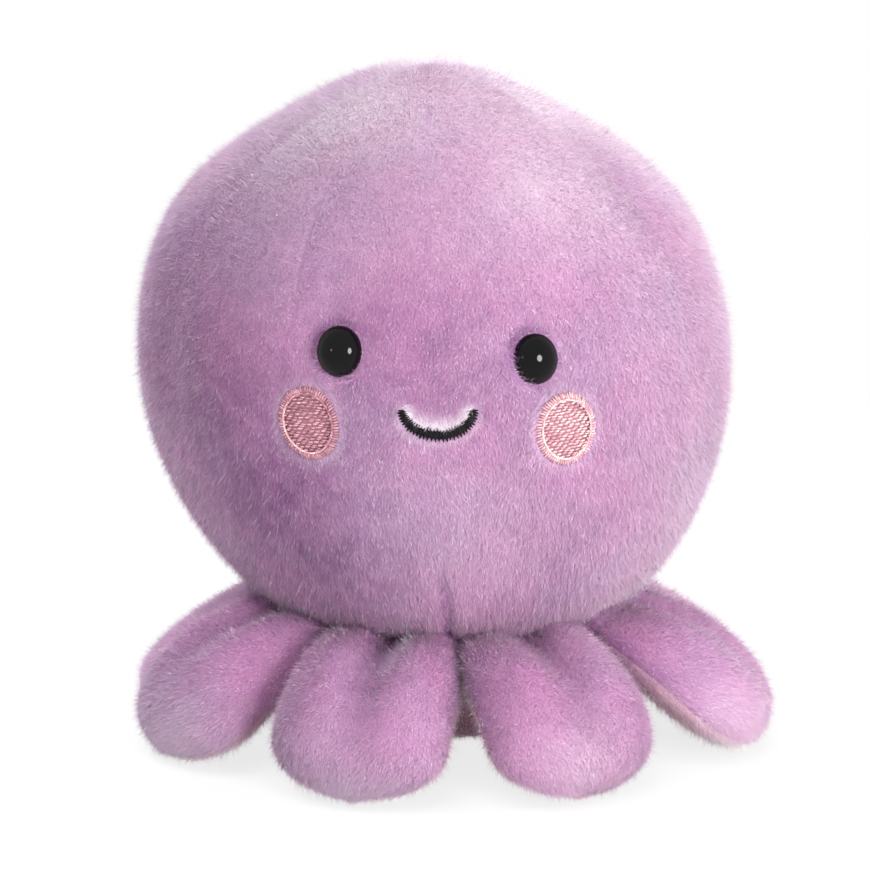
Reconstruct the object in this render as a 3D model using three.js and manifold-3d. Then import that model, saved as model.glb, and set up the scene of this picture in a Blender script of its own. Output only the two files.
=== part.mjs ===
// Plush octopus: a stuffed ball of a head on a skirt of eight short, drooping arms.
// Millimetres, Z up, the face looks towards -Y, and the origin is on the floor under the middle of the head.
import * as THREE from "three";
import { mergeVertices } from "three/addons/utils/BufferGeometryUtils.js";
import Module from "manifold-3d";

const wasm = await Module();
wasm.setup();

const degree = Math.PI / 180;
const fullTurn = 2 * Math.PI;

// Fits
const seatGap = 0.3; // between pieces that touch
const cutOverrun = 4; // how far a cutter runs past what it cuts

// Head, measured on the combed pile
const equatorHeight = 70; // above the floor
const headHalfWidth = 54.4; // at the equator
const headRise = 54.2; // from the equator to the crown
const shoulderStart = 25 * degree; // latitude where the crown starts to flatten
const shoulderFlatteningShare = 0.03;
const coverThickness = 3; // backing and combed pile together
const panelPuff = 0.45; // how far a panel swells between its seams
const seamDipDepth = 0.9;
const seamDipWidth = 2.6;
const neckSeamHeight = 24; // where head, arms and base panel are sewn together
const neckRadius = 34.5; // to the edge of the head's cover there
const headLeanShare = 0.046; // how far the head leans to its right for its height above the neck
const crownOpening = 0.6; // radius left open where the panels meet

// Darts in the face panel: azimuth from the front, latitudes, and depth
const dartDepth = 0.8;
const dartFade = 6 * degree;
const faceDarts = [
  { azimuth: 0, from: 40 * degree, to: 90 * degree },
  { azimuth: 0, from: -90 * degree, to: -37 * degree },
  { azimuth: -27 * degree, from: 24 * degree, to: 47 * degree },
];

// Head panels: azimuths of the seams on both sides, and of the grid lines between them
const faceEdge = 60 * degree;
const seamShoulder = 3 * degree; // a grid line this near each seam or dart
const faceColumns = [-48, -38, -27, -17, -9, 9, 17, 27, 38, 48].map((a) => a * degree);
const backColumnShares = [0.25, 0.5, 0.75];
const backPanels = ["head_side_panel_right", "head_back_panel_right", "head_back_panel_left", "head_side_panel_left"];
const panelRows = 14;

// Base panel, the flat underside of the body
const baseFlatRadius = 21;
const baseCornerSteps = 6;
const roundSegments = 24;

// Arms: azimuth from the front, roll about the arm's length, and shares: how far it is tucked under, and how much
// deeper than the others its underside hangs
const armPoses = [
  { azimuth: 22 * degree, roll: -8 * degree, tuckShare: 0, sagShare: 0.13 },
  { azimuth: 70.5 * degree, roll: -18 * degree, tuckShare: 0.15, sagShare: 0.87 },
  { azimuth: 116 * degree, roll: 0, tuckShare: 1, sagShare: 0 },
  { azimuth: 161 * degree, roll: 0, tuckShare: 1, sagShare: 0 },
  { azimuth: 206 * degree, roll: 0, tuckShare: 1, sagShare: 0 },
  { azimuth: 251.5 * degree, roll: 0, tuckShare: 1, sagShare: 0 },
  { azimuth: 297.5 * degree, roll: 0, tuckShare: 0, sagShare: 0 },
  { azimuth: 342.5 * degree, roll: 0, tuckShare: 0, sagShare: 0 },
];
const armRollAt = 14; // distance from the root where an arm's roll is complete
const armLength = 32.4; // along its middle line
const armHalfWidth = 17.6;
const armRootHalfWidth = 13.4;
const armWidestAt = 18;
const armRootSlope = 28 * degree; // below the level, at the root
const armTipSeamHeight = 1.1; // above the floor
const armTopRise = 10.5;
const armTopRiseAt = 16;
const armBottomDrop = 4.6;
const armBottomDropAt = 12;
const tuckedRootSlope = 46 * degree;
const tuckedTopRise = 6;
const tuckedBottomDrop = 3.6;
const armPinch = 1; // half the thickness sewn into the neck seam
const armRootDrop = 1.4; // from the neck seam down to the arm's middle surface
const armCreaseDepth = 2.2; // pleat down the middle of the top panel
const armCreaseWidth = 3.2;
const armCreaseLength = 17;
const armTipBlunt = 0.4;
const armRowShares = [0, 0.1, 0.24, 0.4, 0.56, 0.72, 0.86, 0.96, 1];
const armColumnShares = [-1, -0.82, -0.44, 0, 0.44, 0.82, 1];
const armRootRelief = 0.2; // extra room between an arm's root and the neck, so that it can swing
const armSideGap = 0.5; // from an arm to the plane between it and its neighbour
const armFillShare = 0.87; // the filling's size, as a share of the hollow that it lies in

// Places on the face are shares: across, of the head's half width, and up from the equator, of its rise.

// Eyes: moulded domes on ribbed posts, held by lock washers behind the face panel
const eyeWidth = 8;
const eyeHeight = 8.9;
const eyeSide = 1.1; // straight side under the dome
const eyeDome = 3.1;
const eyePostRadius = 1.5;
const eyePostLength = 9.6;
const eyeRidgeRise = 0.6;
const eyeRidgeLength = 0.8;
const eyeSegments = 16;
const washerRadius = 5.5;
const washerThickness = 1.2;
const eyeSeatDepth = 2.4; // from the pile's surface to the backing that the eye stands on
const eyePlaceShares = {
  eye_left: { across: -0.298, up: 0.188 },
  eye_right: { across: 0.331, up: 0.159 },
};

// Embroidered cheeks
const cheekWidth = 11.6;
const cheekHeight = 13;
const cheekThickness = 1.4;
const cheekSink = 0.8; // below the pile's surface
const cheekBorder = 1.3; // width of the raised satin border
const cheekBorderRise = 0.35;
const cheekSegments = 18;
const cheekPlaceShares = {
  cheek_left: { across: -0.412, up: -0.044 },
  cheek_right: { across: 0.412, up: -0.066 },
};

// Embroidered smile: a crescent that hangs from its two ends
const smilePlaceShare = { across: 0.0074, up: 0.011 };
const smileHalfWidth = 6.7;
const smileDepth = 4.6;
const smileThickness = 1.4;
const smileSink = 0.5;
const smileMiddleHalfWidth = 1.05;
const smileEndHalfWidth = 0.65;
const smileSteps = 16;
const threadRoundShare = 0.55; // width of the band's flat top, as a share of its whole width

// Filling
const pouchSlack = 5.5; // from the pouch's rim to the base panel beside it
const pouchAbove = 10; // from its rim to its top
const pouchBelow = 9; // and to its bottom
const pouchCloth = 0.6;
const pouchSteps = 5;

// Colours
const lavender = new THREE.MeshStandardMaterial({ color: "#cf9fcb", roughness: 0.95, metalness: 0 });
const palePink = new THREE.MeshStandardMaterial({ color: "#e3bccb", roughness: 0.95, metalness: 0 });
const fibre = new THREE.MeshStandardMaterial({ color: "#f2f0ea", roughness: 1, metalness: 0 });
const pouchCotton = new THREE.MeshStandardMaterial({ color: "#e9e4d8", roughness: 0.9, metalness: 0 });
const pellet = new THREE.MeshStandardMaterial({ color: "#dfe3e6", roughness: 0.5, metalness: 0 });
const eyePlastic = new THREE.MeshStandardMaterial({ color: "#0b0b0c", roughness: 0.08, metalness: 0 });
const washerPlastic = new THREE.MeshStandardMaterial({ color: "#e8e8e4", roughness: 0.4, metalness: 0 });
const blushThread = new THREE.MeshStandardMaterial({ color: "#f0a9ad", roughness: 0.6, metalness: 0 });
const blackThread = new THREE.MeshStandardMaterial({ color: "#17141a", roughness: 0.6, metalness: 0 });

// Solids

// A closed mesh from a list of points and a list of triangles.
function closedMesh(points, triangles) {
  const geometry = new THREE.BufferGeometry();
  geometry.setAttribute("position", new THREE.Float32BufferAttribute(points.flatMap((p) => [p.x, p.y, p.z]), 3));
  geometry.setIndex(triangles.flat());
  return geometry;
}

// Two triangles for the four corners of a patch, in turn.
function patch(a, b, c, d) {
  return [
    [a, b, c],
    [a, c, d],
  ];
}

// A wall between two faces that share a grid of rows and columns, closed round its four sides.
function wallBetween(rows, columns, outerAt, innerAt) {
  const across = columns.length;
  const points = [];
  for (const face of [outerAt, innerAt]) {
    for (const row of rows) {
      for (const column of columns) {
        points.push(face(row, column));
      }
    }
  }
  const inner = rows.length * across;
  const at = (i, j) => i * across + j;
  const triangles = [];
  for (let i = 0; i + 1 < rows.length; i++) {
    for (let j = 0; j + 1 < across; j++) {
      const corners = [at(i, j), at(i, j + 1), at(i + 1, j + 1), at(i + 1, j)];
      triangles.push(...patch(...corners));
      triangles.push(...patch(...corners.map((k) => k + inner).reverse()));
    }
  }
  const last = rows.length - 1;
  for (let j = 0; j + 1 < across; j++) {
    triangles.push(...patch(at(0, j + 1), at(0, j), at(0, j) + inner, at(0, j + 1) + inner));
    triangles.push(...patch(at(last, j), at(last, j + 1), at(last, j + 1) + inner, at(last, j) + inner));
  }
  for (let i = 0; i < last; i++) {
    triangles.push(...patch(at(i, 0), at(i + 1, 0), at(i + 1, 0) + inner, at(i, 0) + inner));
    triangles.push(
      ...patch(at(i + 1, across - 1), at(i, across - 1), at(i, across - 1) + inner, at(i + 1, across - 1) + inner),
    );
  }
  return closedMesh(points, triangles);
}

// A closed skin over rings of points, with a flat or pointed cap at each end.
function skinOver(rings, firstTip, lastTip) {
  const around = rings[0].length;
  const points = [...rings.flat(), firstTip, lastTip];
  const first = points.length - 2;
  const last = points.length - 1;
  const triangles = [];
  for (let i = 0; i + 1 < rings.length; i++) {
    for (let j = 0; j < around; j++) {
      const next = (j + 1) % around;
      triangles.push(...patch(i * around + j, i * around + next, (i + 1) * around + next, (i + 1) * around + j));
    }
  }
  const end = (rings.length - 1) * around;
  for (let j = 0; j < around; j++) {
    const next = (j + 1) % around;
    triangles.push([next, j, first]);
    triangles.push([end + j, end + next, last]);
  }
  return closedMesh(points, triangles);
}

// A solid for cutting and joining, turned the right way out.
function solidOf(geometry) {
  const bare = geometry.clone();
  bare.deleteAttribute("normal");
  bare.deleteAttribute("uv");
  const merged = mergeVertices(bare);
  const triVerts = new Uint32Array(merged.index.array);
  const vertProperties = merged.attributes.position.array;
  const made = new wasm.Manifold(new wasm.Mesh({ numProp: 3, vertProperties, triVerts }));
  if (made.volume() > 0) {
    return made;
  }
  for (let i = 0; i < triVerts.length; i += 3) {
    [triVerts[i + 1], triVerts[i + 2]] = [triVerts[i + 2], triVerts[i + 1]];
  }
  return new wasm.Manifold(new wasm.Mesh({ numProp: 3, vertProperties, triVerts }));
}

function geometryOf(solid) {
  const mesh = solid.getMesh();
  const stride = mesh.numProp;
  const points = [];
  for (let i = 0; i < mesh.vertProperties.length; i += stride) {
    points.push(...mesh.vertProperties.subarray(i, i + 3));
  }
  const geometry = new THREE.BufferGeometry();
  geometry.setAttribute("position", new THREE.Float32BufferAttribute(points, 3));
  geometry.setIndex([...mesh.triVerts]);
  return geometry;
}

// What is left of a geometry above the floor.
function standing(geometry) {
  const reach = 2 * (headHalfWidth + armLength);
  const below = new THREE.BoxGeometry(reach, reach, cutOverrun).translate(0, 0, -cutOverrun / 2);
  return geometryOf(solidOf(geometry).subtract(solidOf(below)));
}

// A solid of revolution about Z from a profile of [radius, height] pairs.
function turned(profile, segments) {
  const points = profile.map(([radius, height]) => new THREE.Vector2(radius, height));
  return new THREE.LatheGeometry(points, segments).rotateX(Math.PI / 2);
}

// Head surface

// From the equator to where the ball would end, if it draws in to the neck radius at the neck seam.
const headDrop = (equatorHeight - neckSeamHeight) / Math.sqrt(1 - (neckRadius / headHalfWidth) ** 2);

function headDirection(azimuth, latitude) {
  return new THREE.Vector3(
    Math.cos(latitude) * Math.sin(azimuth),
    -Math.cos(latitude) * Math.cos(azimuth),
    Math.sin(latitude),
  );
}

// Distance from the head's centre to its smooth surface.
function smoothReach(latitude) {
  const pole = latitude > 0 ? headRise : headDrop;
  const reach = 1 / Math.hypot(Math.cos(latitude) / headHalfWidth, Math.sin(latitude) / pole);
  const shoulder = THREE.MathUtils.clamp((latitude - shoulderStart) / (Math.PI / 2 - shoulderStart), 0, 1);
  return reach * (1 - shoulderFlatteningShare * Math.sin(Math.PI * shoulder) ** 2);
}

const panelSeams = [0, 1, 2, 3, 4].map((k) => faceEdge + (k * (fullTurn - 2 * faceEdge)) / 4);

function turnBetween(a, b) {
  return Math.abs(THREE.MathUtils.euclideanModulo(a - b + Math.PI, fullTurn) - Math.PI);
}

// How far seams, darts and the swell of the panels move the surface in.
function headRelief(azimuth, latitude, reach) {
  const arc = reach * Math.cos(latitude);
  const dip = (turn) => Math.exp(-(((arc * turn) / seamDipWidth) ** 2));
  const nearest = Math.min(...panelSeams.map((seam) => turnBetween(azimuth, seam)));
  const seamSpan = turnBetween(azimuth, 0) < faceEdge ? faceEdge : turnBetween(panelSeams[0], panelSeams[1]) / 2;
  const swell = panelPuff * (1 - 2 * (1 - Math.min(nearest / seamSpan, 1)) ** 2) * Math.cos(latitude);
  let inwards = seamDipDepth * dip(nearest) - swell;
  for (const dart of faceDarts) {
    const start = THREE.MathUtils.smoothstep(latitude, dart.from - dartFade, dart.from + dartFade);
    const end = 1 - THREE.MathUtils.smoothstep(latitude, dart.to - dartFade, dart.to + dartFade);
    inwards += dartDepth * dip(turnBetween(azimuth, dart.azimuth)) * start * end;
  }
  return inwards;
}

// A point a distance from the head's centre, moved sideways by the head's lean.
function leaning(direction, distance) {
  const point = direction.clone().multiplyScalar(distance);
  point.z += equatorHeight;
  point.x -= headLeanShare * (point.z - neckSeamHeight);
  return point;
}

// A point of the head, a depth below its surface.
function headPoint(azimuth, latitude, depth) {
  const reach = smoothReach(latitude);
  return leaning(headDirection(azimuth, latitude), reach - headRelief(azimuth, latitude, reach) - depth);
}

// The latitude of the smooth surface at a height above the floor.
function latitudeAt(height) {
  let latitude = 0;
  for (let i = 0; i < 40; i++) {
    latitude = Math.asin(THREE.MathUtils.clamp((height - equatorHeight) / smoothReach(latitude), -1, 1));
  }
  return latitude;
}

const neckLatitude = -Math.atan2(equatorHeight - neckSeamHeight, neckRadius);
const crownLatitude = Math.acos(crownOpening / smoothReach(Math.PI / 2));

// A place on the face, given as shares of the head's half width and rise: a point of the smooth surface, with the
// directions right, up and out of it.
function facePlace({ across, up: upShare }) {
  const latitude = latitudeAt(equatorHeight + upShare * headRise);
  const azimuth = Math.asin((across * headHalfWidth) / (smoothReach(latitude) * Math.cos(latitude)));
  const out = headDirection(azimuth, latitude);
  const right = new THREE.Vector3(Math.cos(azimuth), Math.sin(azimuth), 0);
  const up = new THREE.Vector3().crossVectors(right, out).negate().normalize();
  if (up.z < 0) {
    up.negate();
  }
  return { azimuth, latitude, out, right, up, point: leaning(out, smoothReach(latitude)) };
}

// The point of the smooth head surface, a depth below it, under a point of the face's tangent plane.
function onFace(place, across, along, depth) {
  const aim = place.out.clone().multiplyScalar(smoothReach(place.latitude));
  aim.addScaledVector(place.right, across).addScaledVector(place.up, along).normalize();
  return leaning(aim, smoothReach(Math.asin(aim.z)) - depth);
}

// Head panels

function headPanel(fromAzimuth, toAzimuth, columns) {
  const rows = [];
  for (let i = 0; i <= panelRows; i++) {
    rows.push(THREE.MathUtils.lerp(neckLatitude, crownLatitude, i / panelRows));
  }
  const at = (depth) => (latitude, azimuth) => {
    const arc = (smoothReach(latitude) - coverThickness) * Math.cos(latitude);
    const inset = Math.min(seatGap / 2 / arc, (toAzimuth - fromAzimuth) / 4);
    const share = (azimuth - fromAzimuth) / (toAzimuth - fromAzimuth);
    const seen = THREE.MathUtils.lerp(fromAzimuth + inset, toAzimuth - inset, share);
    return headPoint(seen, latitude, depth);
  };
  return wallBetween(rows, columns, at(0), at(coverThickness));
}

// Eyes

const eyeRidgeAt = eyePostLength - 2 * eyeRidgeLength;

// Eye profile from the post's end to the top of the dome, along the eye's axis.
function eyeProfile() {
  const ridge = eyePostRadius + eyeRidgeRise;
  const profile = [
    [0, -eyePostLength],
    [eyePostRadius, -eyePostLength],
    [ridge, -eyeRidgeAt - eyeRidgeLength / 2],
    [ridge, -eyeRidgeAt + eyeRidgeLength / 2],
    [eyePostRadius, -eyeRidgeAt + eyeRidgeLength / 2],
    [eyePostRadius, 0],
    [1, 0],
    [1, eyeSide],
  ];
  for (const tilt of [25, 50, 72]) {
    profile.push([Math.cos(tilt * degree), eyeSide + eyeDome * Math.sin(tilt * degree)]);
  }
  profile.push([0, eyeSide + eyeDome]);
  return profile;
}

// The dome's part of the profile is a unit wide, and is stretched to the oval of the eye.
function eyeSolid() {
  const domeFrom = 6;
  const widened = (half) => ([radius, height], i) => [i < domeFrom ? radius : radius * half, height];
  const stretched = (half) => eyeProfile().map(widened(half));
  const wide = turned(stretched(eyeWidth / 2), eyeSegments);
  const tall = turned(stretched(eyeHeight / 2), eyeSegments);
  const points = wide.attributes.position;
  for (let i = 0; i < points.count; i++) {
    points.setY(i, tall.attributes.position.getY(i));
  }
  return wide;
}

// Places a geometry made along Z so that Z points out of the face, its zero a depth below the surface.
function seatedOnFace(geometry, place, depth) {
  const turn = new THREE.Matrix4().makeBasis(place.right, place.up, place.out);
  const seat = place.point.clone().addScaledVector(place.out, -depth);
  return geometry.clone().applyMatrix4(turn.setPosition(seat));
}

function ring(inner, outer, low, high, segments) {
  const profile = [
    [inner, low],
    [outer, low],
    [outer, high],
    [inner, high],
    [inner, low],
  ];
  return turned(profile, segments);
}

// A washer is flat and the cover behind the eye is curved, so it stands off by what its rim would cut.
const headInnerRadius = headHalfWidth - coverThickness;
const washerStandOff = headInnerRadius - Math.sqrt(headInnerRadius ** 2 - washerRadius ** 2) + panelPuff + seatGap;
const washerTop = coverThickness - eyeSeatDepth + washerStandOff;

function washerSolid() {
  return ring(eyePostRadius + seatGap, washerRadius, -washerTop - washerThickness, -washerTop, eyeSegments);
}

function rod(radius, low, high) {
  const profile = [
    [0, low],
    [radius, low],
    [radius, high],
    [0, high],
  ];
  return turned(profile, eyeSegments);
}

// The pit in the pile that the eye stands in, and the hole through the backing for its post.
function eyeCutters(place) {
  const pit = rod(1, 0, eyeSeatDepth + cutOverrun).scale(eyeWidth / 2 + seatGap, eyeHeight / 2 + seatGap, 1);
  pit.translate(0, 0, -seatGap);
  const hole = rod(eyePostRadius + seatGap, -coverThickness - cutOverrun, cutOverrun / 2);
  return [pit, hole].map((cutter) => solidOf(seatedOnFace(cutter, place, eyeSeatDepth)));
}

// The hollow that a washer and the post's end take up in the filling.
function washerPocket(place) {
  const low = -eyePostLength - seatGap;
  return solidOf(seatedOnFace(rod(washerRadius + seatGap, low, 0), place, eyeSeatDepth));
}

// Embroidery

// An oval patch laid on the face, with a raised border.
function cheekSolid(place, grow, lowDepth, topDepth, borderRise) {
  const ovalRing = (inset, depth) => {
    const points = [];
    for (let j = 0; j < cheekSegments; j++) {
      const turn = (fullTurn * j) / cheekSegments;
      const across = (cheekWidth / 2 + grow - inset) * Math.cos(turn);
      const along = (cheekHeight / 2 + grow - inset) * Math.sin(turn);
      points.push(onFace(place, across, along, depth));
    }
    return points;
  };
  const rings = [
    ovalRing(0, lowDepth),
    ovalRing(0, topDepth),
    ovalRing(cheekBorder / 2, topDepth - borderRise),
    ovalRing(cheekBorder, topDepth),
    ovalRing(cheekWidth / 4, topDepth),
  ];
  return skinOver(rings, onFace(place, 0, 0, lowDepth), onFace(place, 0, 0, topDepth));
}

// The crescent of the smile, laid on the face, thicker in its middle than at its ends.
function smileSolid(place, grow, lowDepth, topDepth, edgeShare) {
  const rings = [];
  for (let i = 0; i <= smileSteps; i++) {
    const share = (2 * i) / smileSteps - 1;
    const turn = (share * Math.PI) / 2;
    const across = smileHalfWidth * Math.sin(turn);
    const along = -smileDepth * Math.cos(turn);
    const normal = new THREE.Vector2(smileDepth * Math.sin(turn), -smileHalfWidth * Math.cos(turn)).normalize();
    const half = THREE.MathUtils.lerp(smileMiddleHalfWidth, smileEndHalfWidth, share ** 2) + grow;
    const middle = (lowDepth + topDepth) / 2;
    const edge = half * edgeShare;
    const section = [
      [-half, middle],
      [-edge, topDepth],
      [edge, topDepth],
      [half, middle],
      [edge, lowDepth],
      [-edge, lowDepth],
    ];
    const past = grow * Math.abs(share) ** smileSteps;
    const at = (side, depth) => onFace(place, across + side * normal.x, along + side * normal.y + past, depth);
    rings.push(section.map(([side, depth]) => at(side, depth)));
  }
  const tip = (r) => r.reduce((sum, p) => sum.add(p), new THREE.Vector3()).divideScalar(r.length);
  return skinOver(rings, tip(rings[0]), tip(rings[smileSteps]));
}

// Base panel: a dish with a flat foot, sewn into the neck seam at its rim
const baseRimRadius = neckRadius - seatGap;
const baseRimHeight = neckSeamHeight - seatGap;

function dishProfile(depth) {
  const profile = [];
  for (let i = 0; i <= baseCornerSteps; i++) {
    const turn = (Math.PI / 2) * (i / baseCornerSteps);
    const radius = baseFlatRadius + (baseRimRadius - baseFlatRadius) * Math.sin(turn) - depth;
    const height = depth + (baseRimHeight - depth) * (1 - Math.cos(turn));
    profile.push([radius, height]);
  }
  return profile;
}

// The radius of the dish's outer face at a height above the floor.
function dishRadiusAt(height) {
  const turn = Math.acos(THREE.MathUtils.clamp(1 - height / baseRimHeight, 0, 1));
  return baseFlatRadius + (baseRimRadius - baseFlatRadius) * Math.sin(turn);
}

function basePanel() {
  const outside = [[0, 0], ...dishProfile(0)];
  const inside = [...dishProfile(coverThickness).reverse(), [0, coverThickness]];
  return turned([...outside, ...inside], roundSegments);
}

// Pellet pouch: two dished cloth halves sewn at a rim, with the pellets between them
const pouchRim = coverThickness + seatGap + pouchBelow;
const pouchRadius = dishRadiusAt(pouchRim) - coverThickness - pouchSlack;

function pouchHalf(radius, height, fromHeight) {
  const profile = [];
  for (let i = 0; i <= pouchSteps; i++) {
    const turn = (Math.PI / 2) * (i / pouchSteps);
    profile.push([radius * Math.sin(turn) ** 0.6, fromHeight + height * Math.cos(turn)]);
  }
  profile[0][0] = 0;
  return profile;
}

function pouchShell(reach, fromHeight) {
  const thin = Math.abs(reach) - pouchCloth;
  const outer = pouchHalf(pouchRadius, reach, fromHeight);
  const inner = pouchHalf(pouchRadius - pouchCloth, Math.sign(reach) * thin, fromHeight);
  return turned([...outer, ...inner.reverse()], roundSegments);
}

function pelletMass() {
  const inset = pouchCloth + seatGap;
  const radius = pouchRadius - inset;
  const below = pouchHalf(radius, -(pouchBelow - inset), pouchRim);
  const above = pouchHalf(radius, pouchAbove - inset, pouchRim);
  return turned([...below, ...above.reverse().slice(1)], roundSegments);
}

// Head filling: follows the pouch below and the covers all round
function headFilling(pockets) {
  const inset = coverThickness + panelPuff + seatGap;
  const profile = pouchHalf(pouchRadius + seatGap, pouchAbove + seatGap, pouchRim);
  for (const [radius, height] of dishProfile(coverThickness + seatGap)) {
    if (height > pouchRim && radius > pouchRadius + seatGap) {
      profile.push([radius, height]);
    }
  }
  for (let i = 0; i <= panelRows; i++) {
    const latitude = THREE.MathUtils.lerp(neckLatitude, Math.PI / 2, i / panelRows);
    const reach = smoothReach(latitude) - seamDipDepth - dartDepth - inset;
    profile.push([i < panelRows ? reach * Math.cos(latitude) : 0, equatorHeight + reach * Math.sin(latitude)]);
  }
  const filling = turned(profile, roundSegments);
  const points = filling.attributes.position;
  for (let i = 0; i < points.count; i++) {
    points.setX(i, points.getX(i) - headLeanShare * Math.max(points.getZ(i) - neckSeamHeight, 0));
  }
  return geometryOf(pockets.reduce((left, pocket) => left.subtract(pocket), solidOf(filling)));
}

// Arms

const armRootRadius = neckRadius + seatGap + armRootRelief;

// How far the middle line of an arm has come down at a distance along it.
function armFall(rootSlope, bend, along) {
  return (Math.cos(rootSlope) - Math.cos(rootSlope + bend * along)) / bend;
}

// The bend, as an angle for each unit of length, that brings an arm's tip down to the floor.
function armBendToFloor(rootSlope) {
  const drop = neckSeamHeight - armRootDrop - armTipSeamHeight;
  let low = (-Math.PI / 2 - rootSlope) / armLength;
  let high = (Math.PI / 2 - rootSlope) / armLength;
  for (let i = 0; i < 40; i++) {
    const middle = (low + high) / 2;
    if (armFall(rootSlope, middle, armLength) < drop) {
      low = middle;
    } else {
      high = middle;
    }
  }
  return (low + high) / 2;
}

// The shape of an arm from its pose: rolled, tucked under by a share, and kept within its part of the ring.
function armShape({ azimuth, roll, tuckShare, sagShare }) {
  const turns = armPoses.map((pose) => THREE.MathUtils.euclideanModulo(pose.azimuth - azimuth, fullTurn));
  const halfWayTo = (apart) => Math.min(...apart.filter((turn) => turn > 0)) / 2;
  const between = (loose, tucked) => THREE.MathUtils.lerp(loose, tucked, tuckShare);
  const rootSlope = between(armRootSlope, tuckedRootSlope);
  return {
    roll,
    sectorBefore: halfWayTo(turns.map((turn) => (fullTurn - turn) % fullTurn)),
    sectorAfter: halfWayTo(turns),
    rootSlope,
    bend: armBendToFloor(rootSlope),
    topRise: between(armTopRise, tuckedTopRise),
    bottomDrop: between(armBottomDrop, tuckedBottomDrop) + sagShare * armBottomDrop,
  };
}

// How far out the drooping middle line has come at a distance along it.
function armReach({ rootSlope, bend }, along) {
  return (Math.sin(rootSlope + bend * along) - Math.sin(rootSlope)) / bend;
}

// The root follows the round neck, so the arm's sides start further in than its middle.
function armRootSag(along, aside) {
  const half = Math.min(Math.abs(aside), armRootRadius / 2);
  return (armRootRadius - Math.sqrt(armRootRadius ** 2 - half ** 2)) * (1 - along / armLength) ** 2;
}

// The arm's half width at a distance from its root, on the side that asideShare has the sign of.
function armSpread(shape, along, asideShare) {
  const sector = asideShare < 0 ? shape.sectorBefore : shape.sectorAfter;
  const before = Math.max(1 - along / armWidestAt, 0);
  const past = Math.max((along - armWidestAt) / (armLength - armWidestAt), 0);
  const grown = armHalfWidth - (armHalfWidth - armRootHalfWidth) * before ** 2.2;
  const free = grown * Math.sqrt(Math.max(1 - past ** 2.2, 0));
  const room = (sag) => (armRootRadius + armReach(shape, along) - sag) * Math.tan(sector) - armSideGap;
  return Math.min(free, room(armRootSag(along, Math.min(free, room(0)))));
}

// How far the arm swells from its middle surface, on its top or its bottom.
function armSwell(along, most, mostAt) {
  if (along < mostAt) {
    return armPinch + (most - armPinch) * Math.sin(((Math.PI / 2) * along) / mostAt) ** 1.5;
  }
  const past = (along - mostAt) / (armLength - mostAt);
  return most * Math.sqrt(Math.max(1 - past ** 2.4, 0));
}

// The pleat where the top panel is gathered into the neck seam.
function armCrease(along, aside) {
  const fade = Math.max(1 - along / armCreaseLength, 0) * Math.min(along / (armCreaseLength / 4), 1);
  return armCreaseDepth * fade * Math.exp(-((aside / armCreaseWidth) ** 2));
}

// A point of the drooping arm: along its middle line, aside of it, and out of its middle surface. X points outwards.
function armPoint(shape, { along, aside, out }) {
  const slope = shape.rootSlope + shape.bend * along;
  const fall = armFall(shape.rootSlope, shape.bend, along);
  const roll = shape.roll * THREE.MathUtils.smoothstep(along, 0, armRollAt);
  const rise = out * Math.cos(roll) + aside * Math.sin(roll);
  return new THREE.Vector3(
    armRootRadius + armReach(shape, along) + rise * Math.sin(slope) - armRootSag(along, aside),
    aside * Math.cos(roll) - out * Math.sin(roll),
    neckSeamHeight - armRootDrop - fall + rise * Math.cos(slope),
  );
}

// One face of the arm's pillow, a depth inside its outer surface. side is 1 for the top and -1 for the bottom.
function armFace(shape, side, depth, gap) {
  const most = side > 0 ? shape.topRise : shape.bottomDrop;
  const mostAt = side > 0 ? armTopRiseAt : armBottomDropAt;
  return (alongShare, asideShare) => {
    const along = depth + alongShare * (armLength - armTipBlunt - 2 * depth);
    const spread = Math.max(armSpread(shape, along, asideShare) - depth, depth > 0 ? armTipBlunt : 0);
    const crease = side > 0 ? armCrease(along, asideShare * spread) : 0;
    const rise = Math.max(armSwell(along, most, mostAt) - depth - crease, 0);
    const out = rise * (1 - Math.abs(asideShare) ** 2.4) ** 0.5;
    return { along, aside: asideShare * spread, out: side * (out + gap) };
  };
}

function armPanel(shape, side) {
  const outer = armFace(shape, side, 0, seatGap / 2);
  const inner = armFace(shape, side, coverThickness, seatGap);
  const wall = wallBetween(
    armRowShares,
    armColumnShares,
    (row, column) => armPoint(shape, outer(row, column)),
    (row, column) => armPoint(shape, inner(row, column)),
  );
  return standing(wall);
}

// The filling is the hollow of the two panels, drawn together towards its middle.
function armFilling(shape) {
  const face = (side) => (row, column) => {
    const { along, aside, out } = armFace(shape, side, coverThickness, seatGap / 2)(row, column);
    const middle = armLength / 2;
    const drawn = middle + (along - middle) * armFillShare;
    return armPoint(shape, { along: drawn, aside: aside * armFillShare, out: out * armFillShare });
  };
  return wallBetween(armRowShares, armColumnShares, face(1), face(-1));
}

// Assembly

const octopus = new THREE.Group();

function add(name, geometry, material, group = octopus) {
  const mesh = new THREE.Mesh(geometryOf(solidOf(geometry)), material);
  mesh.name = name;
  group.add(mesh);
}

const faceSteps = [-faceEdge, -faceEdge + seamShoulder, ...faceColumns.slice(0, faceColumns.length / 2)];
const faceGrid = [...faceSteps, -seamShoulder, 0, seamShoulder, ...faceSteps.map((a) => -a).reverse()];
const eyePlaces = Object.entries(eyePlaceShares).map(([name, where]) => [name, facePlace(where)]);
const cheekPlaces = Object.entries(cheekPlaceShares).map(([name, where]) => [name, facePlace(where)]);
const smilePlace = facePlace(smilePlaceShare);

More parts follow.
